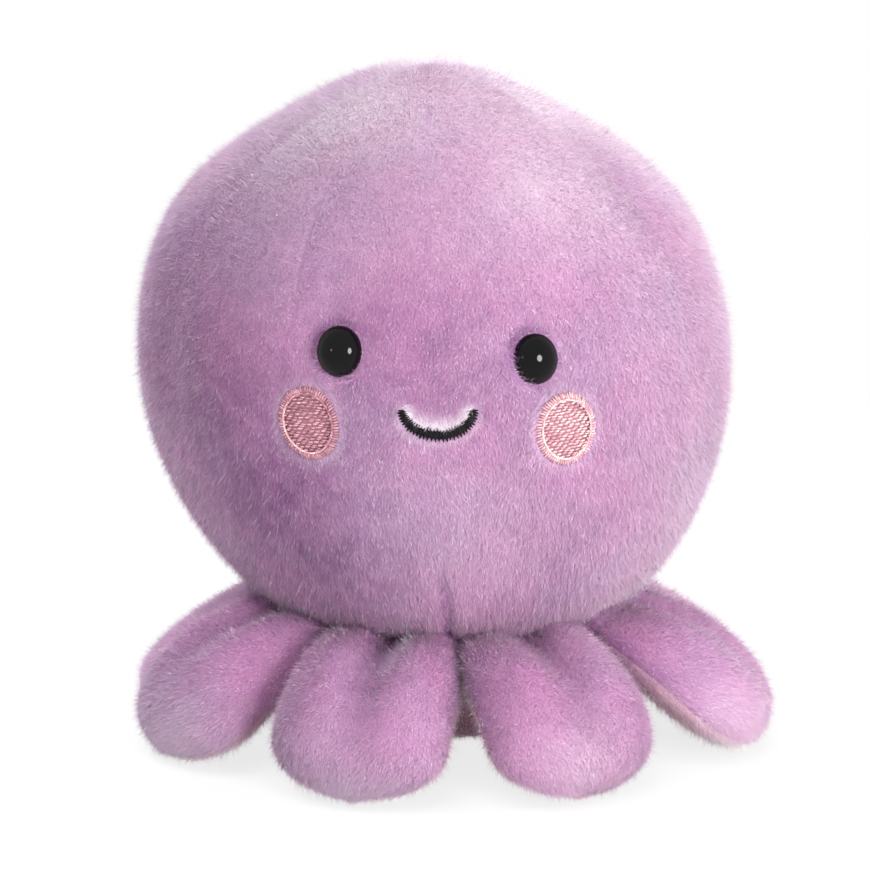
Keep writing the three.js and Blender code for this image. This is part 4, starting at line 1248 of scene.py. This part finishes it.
class OCTOPUS_OT_arm_pile(bpy.types.Operator):
    """Grows the arms' pile, combed from root to tip: lavender on top, pale pink underneath"""

    bl_idname = "octopus.arm_pile"
    bl_label = "Arm Pile"

    def execute(self, context):
        pile = context.scene.octopus_pile
        for number in range(1, len(ARMS) + 1):
            arm = arm_shape(number)
            for side, part, look, slot in ARM_SIDES:
                seed = ARM_SEEDS[0] + ARM_SEEDS[1] * number + side
                surface, cells = arm.face(side, pile.height), ARM_PILE_CELLS
                roots, normals, out, shares = scatter(surface, cells, cells, pile.density, seed)
                normals = turned_out(normals, roots, arm.inside(side))
                glints = np.random.default_rng(seed + GLINT_SEED).random(len(roots))
                share = ARM_STRAND_SHARES[side]
                corners, shading = strands(
                    roots, normals, out, pile, seed, glints, share, -ARM_RISE, floor=FLOOR_GAP
                )
                tones = np.stack([glints, *self.shade_and_paleness(arm, side, roots, shares, seed)], axis=-1)
                grown = pile_piece(f"arm_{number}_{part}_pile", corners, shading, tones)
                settle(grown, f"{look}_pile", slot, body=None)
                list(arm_span(arm))
                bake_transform(grown)
        return {"FINISHED"}

    def shade_and_paleness(self, arm, side, roots, shares, seed):
        patch, _, shade = mottling(roots, ARM_PATCH, ARM_GROUND, seed)
        along = arm.along_share(shares[:, 1]) * arm.sizes.reach
        aside = np.abs(2 * shares[:, 0] - 1)
        # Painted shade at the root under the head, in the creases along the sides, and in the pleat.
        shade = shade + ROOT_TONE * hill(along, ROOT_REACH)
        shade += SIDE_TONE * smooth_step(aside, *SIDE_BAND) * (1 - smooth_step(along, *SIDE_END))
        if side > 0:
            across = arm.sizes.half_width * np.sin((shares[:, 0] - 0.5) * math.pi)
            shade += PLEAT_TONE * arm.pleat(along, across)
        lightening = TIP_PALE * smooth_step(along, *TIP_BAND) * (1 + patch)
        return np.clip(shade, 0, 1), np.clip(lightening, 0, 1)


# The base

BASE_FLAT_RADIUS = 0.016
# How far inside and below the neck seam the base ends.
BASE_INSIDE, BASE_BELOW = 0.0005, 0.0003
# Share of the flat radius at which the base's middle closes.
BASE_MIDDLE_SHARE = 0.004
BASE_BACKING_CELLS, BASE_PILE_CELLS = (72, 30), (140, 90)
# The pile is thinner and shorter here, and pressed flat.
BASE_DENSITY_SHARE, BASE_STRAND_SHARE, BASE_PRESSED, BASE_TONE = 0.6, 0.85, 0.1, 0.1


def base_surface(sizes, depth):
    """The underside of the body, a flat dish, by shares round it and from its middle to its rim."""
    flat, rim, high = BASE_FLAT_RADIUS, sizes.neck_radius - BASE_INSIDE, sizes.neck_height - BASE_BELOW

    def surface(around, out_share):
        bend = np.clip(2 * out_share - 1, 0, 1) * math.pi / 2
        radius = flat * np.clip(2 * out_share, BASE_MIDDLE_SHARE, 1) + (rim - depth - flat) * np.sin(bend)
        height = depth + (high - depth) * (1 - np.cos(bend))
        return np.stack([radius * np.sin(around * TURN), -radius * np.cos(around * TURN), height], axis=-1)

    return surface


class OCTOPUS_OT_base(bpy.types.Operator):
    """Lays the base panel under the body and grows its flattened pile"""

    bl_idname = "octopus.base"
    bl_label = "Base"

    def execute(self, context):
        sizes, pile = context.scene.octopus_head, context.scene.octopus_pile
        surface = base_surface(sizes, pile.height)
        above = np.array([0, 0, sizes.neck_height])
        cover = sheet_on("base_backing", *BASE_BACKING_CELLS, surface, above)
        finish_with(cover, "WELD", merge_threshold=0.00001)
        finish_with(cover, "SOLIDIFY", thickness=sizes.wall, offset=-1)
        smooth(cover)
        settle(cover, "pink_backing", "pale_pink_plush", "base_panel")
        density = pile.density * BASE_DENSITY_SHARE
        roots, normals, out, _ = scatter(surface, *BASE_PILE_CELLS, density, BASE_SEED)
        normals = turned_out(normals, roots, above)
        glints = np.random.default_rng(BASE_SEED + 1).random(len(roots))
        look = (BASE_STRAND_SHARE, BASE_PRESSED, FLOOR_GAP)
        corners, shading = strands(roots, normals, out, pile, BASE_SEED, glints, *look)
        tones = np.stack([glints, np.full(len(roots), BASE_TONE), np.zeros(len(roots))], axis=-1)
        settle(pile_piece("base_pile", corners, shading, tones), "pink_pile", "pale_pink_plush")
        return {"FINISHED"}


# The eyes

POST_RADIUS, POST_LENGTH, POST_TIP_INSET, POST_TIP = 0.0015, 0.0090, 0.0003, 0.0006
EYE_EDGE, EYE_EDGE_ANGLE = 0.0003, 0.9
# How far the dome's foot is sunk under the smooth surface, without its straight side.
EYE_SEAT = 0.0024


class OCTOPUS_OT_eyes(bpy.types.Operator):
    """Models the two glossy eyes: a dome, its straight side, and the post behind it"""

    bl_idname = "octopus.eyes"
    bl_label = "Eyes"

    def execute(self, context):
        head, face = head_shape(), context.scene.octopus_face
        for side, where in EYES.items():
            eye = self.moulded(f"eye_{side}_dome", face)
            place = head.place(*where)
            turn = Matrix([*zip(place["right"], place["up"], place["out"])]).to_4x4()
            seat = Vector(place["point"] - place["out"] * (EYE_SEAT - face.eye_side))
            eye.data.transform(Matrix.Translation(seat) @ turn)
            smooth(eye)
            settle(eye, "eye_moulding", "eye_plastic", f"eye_{side}")
            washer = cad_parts[f"eye_washer_{side}"]
            for slot in washer.material_slots:
                slot.material = finishes()["washer_moulding"]
        return {"FINISHED"}

    def moulded(self, name, face):
        """An eye at the origin, looking up."""
        begin()
        half = face.eye_width / 2
        bpy.ops.mesh.primitive_uv_sphere_add(segments=64, ring_count=40, radius=half)
        eye = named(name)
        with edit_mode(eye):
            stretch = (1, face.eye_height / face.eye_width, face.eye_dome / half)
            bpy.ops.transform.resize(value=stretch)
            bpy.ops.mesh.bisect(plane_co=(0, 0, 0), plane_no=(0, 0, 1), use_fill=True, clear_inner=True)
            self.lengthen(eye, face.eye_side)
            self.select_below(eye)
            bpy.ops.mesh.inset(thickness=half - POST_RADIUS)
            self.lengthen(eye, POST_LENGTH)
            self.select_below(eye)
            bpy.ops.mesh.inset(thickness=POST_TIP_INSET)
            bpy.ops.transform.translate(value=(0, 0, -POST_TIP))
        edges = {"limit_method": "ANGLE", "angle_limit": EYE_EDGE_ANGLE}
        finish_with(eye, "BEVEL", width=EYE_EDGE, segments=3, **edges)
        return eye

    def lengthen(self, eye, by):
        self.select_below(eye)
        bpy.ops.mesh.extrude_region_move(TRANSFORM_OT_translate={"value": (0, 0, -by)})

    def select_below(self, eye):
        """In edit mode, selects the faces that look down at the eye's lower end."""
        bpy.ops.mesh.select_mode(type="FACE")
        bpy.ops.mesh.select_all(action="DESELECT")
        bpy.ops.object.mode_set(mode="OBJECT")
        lowest = min(vertex.co.z for vertex in eye.data.vertices)
        for polygon in eye.data.polygons:
            polygon.select = polygon.normal.z < -0.9 and polygon.center.z < lowest + 0.00001
        bpy.ops.object.mode_set(mode="EDIT")


# The embroidery

# Threads: depth under the smooth surface, share of the thread's thickness, arch, and how blunt the ends are.
THREADS = {
    "cheek_border": (0.0010, 0.88, 0.00034, 2.6),
    "cheek_rim": (0.00068, 0.72, 0.00010, 4.0),
    "cheek_fill": (0.00092, 0.74, 0.00018, 3.0),
    "smile_padding": (0.00095, 1.0, 0.00022, 4.0),
    "smile_spikes": (0.00066, 0.66, 0.00022, 2.0),
}
# The padding under a cheek: its share of the cheek, its depth, half its thickness and its tone.
# The pad's low tone is painted shade that shows in the gaps between the stitches.
PAD_SHARE, PAD_DEPTH, PAD_HALF, PAD_TONE = 0.97, 0.00135, 0.0004, 0.18
# Satin border: stitches, how far they slant, how every other one is longer, and how all differ.
BORDER_COUNT, BORDER_SLANT, BORDER_STEP = 76, 0.04, 0.00022
BORDER_OUTER_SPREAD, BORDER_INNER_SPREAD = 0.00010, 0.00007
# Pale rim: stitches, its place in the border, half of what a stitch spans and climbs, and how all differ.
RIM_COUNT, RIM_SHARE, RIM_AHEAD, RIM_CLIMB, RIM_SPREAD = 54, 0.92, 0.085, 0.00012, 0.00004
# Fill: its place in the border, row distance, stitch step and length, the brick-wise shift and the start.
FILL_SHARE, ROW_SHARE, STITCH_STEP, STITCH_LENGTH = 0.9, 1.16, 0.00112, 0.00104
BRICK_SHIFT, BRICK_ROWS, FILL_START, SHORTEST_STITCH = 0.00041, 3, 0.0015, 0.0004
# The rows are wavy and slope a little, and their stitches differ.
WAVE, WAVE_TURNS, WAVE_ROW_TURN, FILL_SLOPE, FILL_SPREAD = 0.00012, 1500, 1.3, 0.00006, 0.00006
# Tones: on the left cheek, kept in painted shade; what painted light adds on the right one; and how all
# differ.
BORDER_TONES, RIM_TONES, FILL_TONES = (0.26, 0.32, 0.18), (0.42, 0.28, 0.2), (0.34, 0.28, 0.22)
# Painted highlight on one side of the rim, painted shade on the other: how much on both cheeks, and which
# turn.
RIM_LIT, RIM_LIT_LESS, RIM_LIT_TURN = 0.30, 0.15, 3.9
CHEEK_SEED, SMILE_SEED = 300, 400


def stitches(name, starts, ends, outs, thickness, arch, blunt, tones):
    """Threads laid from start to end, each arched out of the cloth: one modelled grain, copied."""
    begin()
    bpy.ops.mesh.primitive_uv_sphere_add(segments=8, ring_count=8, radius=1)
    grain = named("grain")
    points = points_of(grain)
    faces = [tuple(polygon.vertices) for polygon in grain.data.polygons]
    bpy.data.objects.remove(grain)
    along = points[:, 2]
    rounder = np.sqrt(np.clip(1 - np.abs(along) ** blunt, 0, 1) / np.clip(1 - along**2, 1e-6, 1))
    wide = points[:, :2] * rounder[:, None]
    middle, half = (starts + ends) / 2, (ends - starts) / 2
    side = unit(np.cross(outs, half))
    placed = (
        middle[:, None]
        + half[:, None] * along[None, :, None]
        + side[:, None] * (wide[None, :, :1] * thickness / 2)
        + outs[:, None] * (wide[None, :, 1:] * thickness / 2 + arch * (1 - along**2)[None, :, None])
    )
    mesh = bpy.data.meshes.new(name)
    total = [tuple(v + k * len(points) for v in f) for k in range(len(middle)) for f in faces]
    mesh.from_pydata(placed.reshape(-1, 3).tolist(), [], total)
    tint(mesh, np.repeat(tones.astype(np.float32), len(points)))
    piece = new_piece(name, mesh)
    with edit_mode(piece):
        bpy.ops.mesh.normals_make_consistent(inside=False)
    smooth(piece)
    return piece


def tint(mesh, tones):
    """Gives each point of an embroidery its tone, from deep colour to pale."""
    mesh.attributes.new("thread_tone", "FLOAT", "POINT").data.foreach_set("value", tones)


def sew(head, face, place, kind, starts, ends, tones):
    """Stitches of one kind on the face, between points of the place's tangent plane."""
    depth, share, arch, blunt = THREADS[kind]
    starts, ends = (head.on_face(place, flat, depth) for flat in (starts, ends))
    outs = np.repeat(place["out"][None], len(starts), axis=0)
    return stitches(kind, starts, ends, outs, face.thread * share, arch, blunt, tones)


def round_about(turn):
    return np.stack([np.cos(turn), np.sin(turn)], axis=-1)


def clip_to_oval(points, half):
    share = np.maximum(np.hypot(points[:, 0] / half[0], points[:, 1] / half[1]), 1)
    return points / share[:, None]


class OCTOPUS_OT_cheeks(bpy.types.Operator):
    """Embroiders the two cheeks: a padded oval, rows of fill stitches, a satin border and a pale rim"""

    bl_idname = "octopus.cheeks"
    bl_label = "Cheeks"

    def execute(self, context):
        head, face = head_shape(), context.scene.octopus_face
        half = np.array([face.cheek_width, face.cheek_height]) / 2
        for number, (side, where) in enumerate(CHEEKS.items()):
            rng = np.random.default_rng(CHEEK_SEED + number)
            cloth = (head, face, head.place(*where))
            # Painted light on the right cheek; the left one keeps the tones of painted shade.
            painted_light = 1.0 if side == "right" else 0.0
            pad = self.pad(head, cloth[-1], half, f"cheek_{side}_embroidery")
            border = self.border(*cloth, half, rng, painted_light)
            rim = self.rim(*cloth, half, rng, painted_light)
            fill = self.fill(*cloth, half, rng, painted_light)
            piece = joined(pad, border, rim, fill)
            smooth(piece)
            settle(piece, "cheek_stitching", "blush_thread", f"cheek_{side}")
        return {"FINISHED"}

    def pad(self, head, place, half, name):
        """The padding under the stitches."""
        begin()
        bpy.ops.mesh.primitive_uv_sphere_add(segments=48, ring_count=24, radius=1)
        pad = named(name)
        ball = points_of(pad)
        depth = PAD_DEPTH - PAD_HALF * ball[:, 2:]
        move_points(pad, head.on_face(place, ball[:, :2] * half * PAD_SHARE, depth))
        tint(pad.data, np.full(len(ball), PAD_TONE, np.float32))
        return pad

    def border(self, head, face, place, half, rng, painted_light):
        """Radial satin stitches of uneven length."""
        count = BORDER_COUNT
        turn = np.linspace(0, TURN, count, endpoint=False)
        longer = BORDER_STEP * (np.arange(count) % 2)[:, None]
        uneven = longer + rng.normal(0, BORDER_OUTER_SPREAD, (count, 1))
        inner_edge = half - face.cheek_border + rng.normal(0, BORDER_INNER_SPREAD, (count, 1))
        tone, more, spread = BORDER_TONES
        tones = tone + more * painted_light + rng.uniform(-spread, spread, count)
        inner, outer = round_about(turn) * inner_edge, round_about(turn + BORDER_SLANT) * (half + uneven)
        return sew(head, face, place, "cheek_border", inner, outer, tones)

    def rim(self, head, face, place, half, rng, painted_light):
        """A pale run of stitches along the border's inner edge."""
        count = RIM_COUNT
        turn = np.linspace(0, TURN, count, endpoint=False)
        ring = half - face.cheek_border * RIM_SHARE
        ends = []
        for way in (-1, 1):
            uneven = rng.normal(0, RIM_SPREAD, (count, 1))
            ends.append(round_about(turn + way * RIM_AHEAD) * (ring - way * RIM_CLIMB + uneven))
        tone, more, spread = RIM_TONES
        # Painted highlight on one side of the rim and painted shade on the other.
        lit = (RIM_LIT - RIM_LIT_LESS * painted_light) * np.cos(turn - RIM_LIT_TURN)
        tones = tone + more * painted_light + lit + rng.uniform(-spread, spread, count)
        return sew(head, face, place, "cheek_rim", *ends, tones)

    def fill(self, head, face, place, half, rng, painted_light):
        """Wavy rows of short stitches, laid brick-wise."""
        inside = half - face.cheek_border * FILL_SHARE
        starts, ends = [], []
        for row, at in enumerate(np.arange(-inside[1], inside[1], face.thread * ROW_SHARE)):
            shift = (row % BRICK_ROWS) * BRICK_SHIFT
            for x in np.arange(-inside[0] - FILL_START, inside[0], STITCH_STEP) + shift:
                wave = WAVE * math.sin(x * WAVE_TURNS + row * WAVE_ROW_TURN)
                starts.append((x, at + wave - FILL_SLOPE))
                ends.append((x + STITCH_LENGTH, at + wave + FILL_SLOPE))
        starts, ends = np.array(starts), np.array(ends)
        starts += rng.normal(0, FILL_SPREAD, starts.shape)
        starts, ends = (clip_to_oval(points, inside) for points in (starts, ends))
        keep = np.linalg.norm(ends - starts, axis=1) > SHORTEST_STITCH
        starts, ends = starts[keep], ends[keep]
        tone, more, spread = FILL_TONES
        tones = tone + more * painted_light + rng.uniform(-spread, spread, len(starts))
        return sew(head, face, place, "cheek_fill", starts, ends, tones)


# Layers of the smile: stitches, share of the band, how far their ends stick out, and how they slant.
SMILE_LAYERS = {"smile_padding": (61, 0.80, 0.0, 0.0), "smile_spikes": (64, 1.0, 0.00062, 0.5)}
# Spikes differ between these shares, and the outer ends stick out by this share of the inner ones.
SPIKE_LIMITS, OUTER_SPIKES, SMILE_TONES = (0.1, 1.0), 0.7, (0.1, 0.9)


class OCTOPUS_OT_smile(bpy.types.Operator):
    """Embroiders the smile: a padded band and a zig-zag of spiky stitches over it"""

    bl_idname = "octopus.smile"
    bl_label = "Smile"

    def execute(self, context):
        head, face = head_shape(), context.scene.octopus_face
        place = head.place(*SMILE)
        rng = np.random.default_rng(SMILE_SEED)
        layers = []
        for kind, (count, share, spikes, slant) in SMILE_LAYERS.items():
            middle, normal, half = smile_curve(face, count)
            along = np.gradient(middle, axis=0)
            uneven = spikes * rng.uniform(*SPIKE_LIMITS, (count, 2)) * np.array([1, OUTER_SPIKES])
            reach = share * half[:, None] + uneven
            lean = along * (slant * np.where(np.arange(count) % 2, 1, -1)[:, None])
            inner = middle - normal * reach[:, :1] - lean
            outer = middle + normal * reach[:, 1:] + lean
            layers.append(sew(head, face, place, kind, inner, outer, rng.uniform(*SMILE_TONES, count)))
        smile = joined(*layers)
        smile.name = smile.data.name = "smile_embroidery"
        settle(smile, "smile_stitching", "black_thread", "smile")
        return {"FINISHED"}


# What lies inside: each node's piece, finish, slot and how far its surface dips in lumps.
FILLINGS = {
    "head_filling": ("head_stuffing", "filling_fibre", "fibre_filling", 0.0011),
    "pellet_pouch_top": ("pouch_upper_cloth", "pouch_cloth", "pouch_cotton", 0.0),
    "pellet_pouch_bottom": ("pouch_lower_cloth", "pouch_cloth", "pouch_cotton", 0.0),
    "pellets": ("pellet_load", "pellet_plastic", "plastic_pellets", 0.0005),
}
ARM_FILLING = ("filling_fibre", "fibre_filling", 0.0004)
# An arm's filling keeps this far inside the CAD's, so that it stays under the pleat.
ARM_FILLING_INSET = 0.0012
LUMP_SIZE, LUMP_SEED = 0.006, 500


class OCTOPUS_OT_fillings(bpy.types.Operator):
    """Rounds off what lies inside: the stuffing, the pouch and its pellets"""

    bl_idname = "octopus.fillings"
    bl_label = "Fillings"

    def execute(self, context):
        for node, (name, *look) in FILLINGS.items():
            self.soft_copy(node, name, *look, 0.0, BODY)
        for number in range(1, len(ARMS) + 1):
            arm = f"arm_{number}"
            self.soft_copy(f"{arm}_filling", f"{arm}_stuffing", *ARM_FILLING, ARM_FILLING_INSET, arm)
        return {"FINISHED"}

    def soft_copy(self, node, name, finish, slot, lump, inset, body):
        """A copy of a node, made finer, inset and lumpy."""
        piece = new_piece(name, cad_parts[node].data.copy())
        with edit_mode(piece):
            bpy.ops.mesh.remove_doubles(threshold=0.000002)
            bpy.ops.mesh.normals_make_consistent(inside=False)
            bpy.ops.mesh.subdivide(number_cuts=1)
        points = points_of(piece)
        depth = inset + lump * np.abs(lattice_noise(points, LUMP_SIZE, LUMP_SEED)[:, 0])
        move_points(piece, points - vectors_of(piece.data.vertices, "normal") * depth[:, None])
        smooth(piece)
        settle(piece, finish, slot, node, body=body)


# The stage

# Lamps round the object: azimuth, elevation, distance, size, power, whether the eyes mirror it, and tint.
WHITE, BLUISH = (1, 1, 1), (0.84, 0.86, 1.0)
LAMPS = {
    "key_lamp": (32, 11, 1.2, 0.40, 13, True, WHITE),
    "side_lamp": (72, 10, 1.2, 0.9, 9, False, WHITE),
    "fill_lamp": (-46, 12, 1.3, 0.14, 0.6, True, WHITE),
    "front_top_lamp": (-18, 56, 1.2, 1.0, 10.5, False, WHITE),
    "left_top_lamp": (-80, 50, 1.2, 0.8, 5.5, False, BLUISH),
    "high_side_lamp": (80, 22, 1.2, 0.7, 3, False, WHITE),
    "back_top_lamp": (170, 52, 1.1, 0.9, 4, False, WHITE),
    "back_lamp": (205, 18, 1.3, 1.0, 10, False, WHITE),
}
LAMP_AIM_HEIGHT = 0.06
FLOOR_DEPTH, FLOOR_GREY = 0.0001, (0.84, 0.84, 0.84)
# The floor is plain white past the second distance, and by this share everywhere.
SHADOW_FROM, SHADOW_TO, FLOOR_WHITENESS = 0.10, 0.30, 0.80
SKY_TINT, SKY_STRENGTH = (0.82, 0.84, 1), 0.20
SENSOR_WIDTH, CLIP_START = 36, 0.01


class OCTOPUS_OT_stage(bpy.types.Operator):
    """Sets the floor, the lamps, the white surroundings and the camera"""

    bl_idname = "octopus.stage"
    bl_label = "Stage"

    def execute(self, context):
        stage = context.scene.octopus_stage
        begin()
        bpy.ops.mesh.primitive_plane_add(size=stage.floor_size, location=(0, 0, -FLOOR_DEPTH))
        floor = named("floor")
        floor.data.materials.append(self.paper())
        for name, values in LAMPS.items():
            self.lamp(name, *values)
        self.surroundings(context.scene)
        self.camera(context.scene, stage)
        context.scene.view_settings.view_transform = "Standard"
        return {"FINISHED"}

    def lamp(self, name, azimuth, elevation, distance, size, power, mirrored, tint_colour):
        """A round soft lamp that faces the object."""
        begin()
        way = direction_at(azimuth * DEGREE, elevation * DEGREE)
        place = Vector(way) * distance + Vector((0, 0, LAMP_AIM_HEIGHT))
        bpy.ops.object.light_add(type="AREA", location=place)
        lamp = bpy.context.active_object
        lamp.name = lamp.data.name = name
        lamp.data.shape = "DISK"
        lamp.data.size = size
        lamp.data.energy = power
        lamp.data.color = tint_colour
        lamp.visible_glossy = mirrored
        lamp.rotation_euler = Vector(way).to_track_quat("Z", "Y").to_euler()

    def paper(self):
        """Pale paper that keeps the shadow near the object and is plain white further off."""
        look = {"Roughness": 0.9, "Base_Color": FLOOR_GREY}
        material, tree, shader, coordinates = new_material("floor_paper", **look)
        off = new_node(tree, "VectorMath", Vector=coordinates)
        off.operation = "LENGTH"
        far = new_node(tree, "MapRange", From_Min=SHADOW_FROM, From_Max=SHADOW_TO, Value=off.outputs["Value"])
        far.interpolation_type = "SMOOTHSTEP"
        share = arithmetic(tree, "MAXIMUM", far.outputs[0], FLOOR_WHITENESS)
        seen = arithmetic(tree, "MULTIPLY", share, self.seen_rays(tree))
        chosen = mix_shaders(tree, seen, shader, new_node(tree, "Emission"))
        tree.links.new(chosen.outputs[0], tree.nodes["Material Output"].inputs["Surface"])
        return material

    def seen_rays(self, tree):
        """1 for the rays that show the surroundings, and 0 for those that light the object."""
        path = tree.nodes.new("ShaderNodeLightPath")
        either = arithmetic(tree, "MAXIMUM", path.outputs["Is Camera Ray"], path.outputs["Is Glossy Ray"])
        return arithmetic(tree, "MAXIMUM", either, path.outputs["Is Transmission Ray"])

    def surroundings(self, scene):
        """White where they are seen, and a weak bluish light."""
        scene.world = scene.world or bpy.data.worlds.new("surroundings")
        scene.world.use_nodes = True
        tree = scene.world.node_tree
        tree.nodes.clear()
        seen = new_node(tree, "Background", Color=WHITE)
        light = new_node(tree, "Background", Color=SKY_TINT, Strength=SKY_STRENGTH)
        chosen = mix_shaders(tree, self.seen_rays(tree), light, seen)
        new_node(tree, "OutputWorld", Surface=chosen.outputs[0])

    def camera(self, scene, stage):
        begin()
        aim = Vector((0, 0, stage.aim_height))
        back = Vector((0, -math.cos(stage.elevation), math.sin(stage.elevation)))
        bpy.ops.object.camera_add(location=aim + back * stage.distance)
        camera = bpy.context.active_object
        camera.name = camera.data.name = "camera"
        camera.rotation_euler = back.to_track_quat("Z", "Y").to_euler()
        camera.data.lens = stage.lens
        camera.data.sensor_width = SENSOR_WIDTH
        camera.data.shift_x = stage.shift_across
        camera.data.shift_y = stage.shift_up
        camera.data.clip_start = CLIP_START
        scene.camera = camera


GROUPS = {
    "octopus_head": OctopusHeadSizes,
    "octopus_arms": OctopusArmSizes,
    "octopus_pile": OctopusPileSizes,
    "octopus_face": OctopusFaceSizes,
    "octopus_stage": OctopusStageSizes,
}
OPERATORS = (
    OCTOPUS_OT_head_covers,
    OCTOPUS_OT_head_pile,
    OCTOPUS_OT_arm_covers,
    OCTOPUS_OT_arm_pile,
    OCTOPUS_OT_base,
    OCTOPUS_OT_eyes,
    OCTOPUS_OT_cheeks,
    OCTOPUS_OT_smile,
    OCTOPUS_OT_fillings,
    OCTOPUS_OT_stage,
)


class OCTOPUS_PT_parts(bpy.types.Panel):
    """Lists the sizes and the pieces"""

    bl_idname = "OCTOPUS_PT_parts"
    bl_label = "Plush Octopus"
    bl_space_type = "VIEW_3D"
    bl_region_type = "UI"
    bl_category = "Octopus"

    def draw(self, context):
        for name, group in GROUPS.items():
            box = self.layout.box()
            for key in group.__annotations__:
                box.prop(getattr(context.scene, name), key)
        for operator in OPERATORS:
            self.layout.operator(operator.bl_idname)


def register():
    for cls in (*GROUPS.values(), *OPERATORS, OCTOPUS_PT_parts):
        bpy.utils.register_class(cls)
    for name, group in GROUPS.items():
        setattr(bpy.types.Scene, name, PointerProperty(type=group))


def unregister():
    for name in GROUPS:
        delattr(bpy.types.Scene, name)
    for cls in (OCTOPUS_PT_parts, *OPERATORS[::-1], *tuple(GROUPS.values())[::-1]):
        bpy.utils.unregister_class(cls)


def main():
    register()
    bpy.ops.octopus.head_covers()
    bpy.ops.octopus.head_pile()
    bpy.ops.octopus.arm_covers()
    bpy.ops.octopus.arm_pile()
    bpy.ops.octopus.base()
    bpy.ops.octopus.eyes()
    bpy.ops.octopus.cheeks()
    bpy.ops.octopus.smile()
    bpy.ops.octopus.fillings()
    bpy.ops.octopus.stage()


if __name__ == "__main__":
    main()
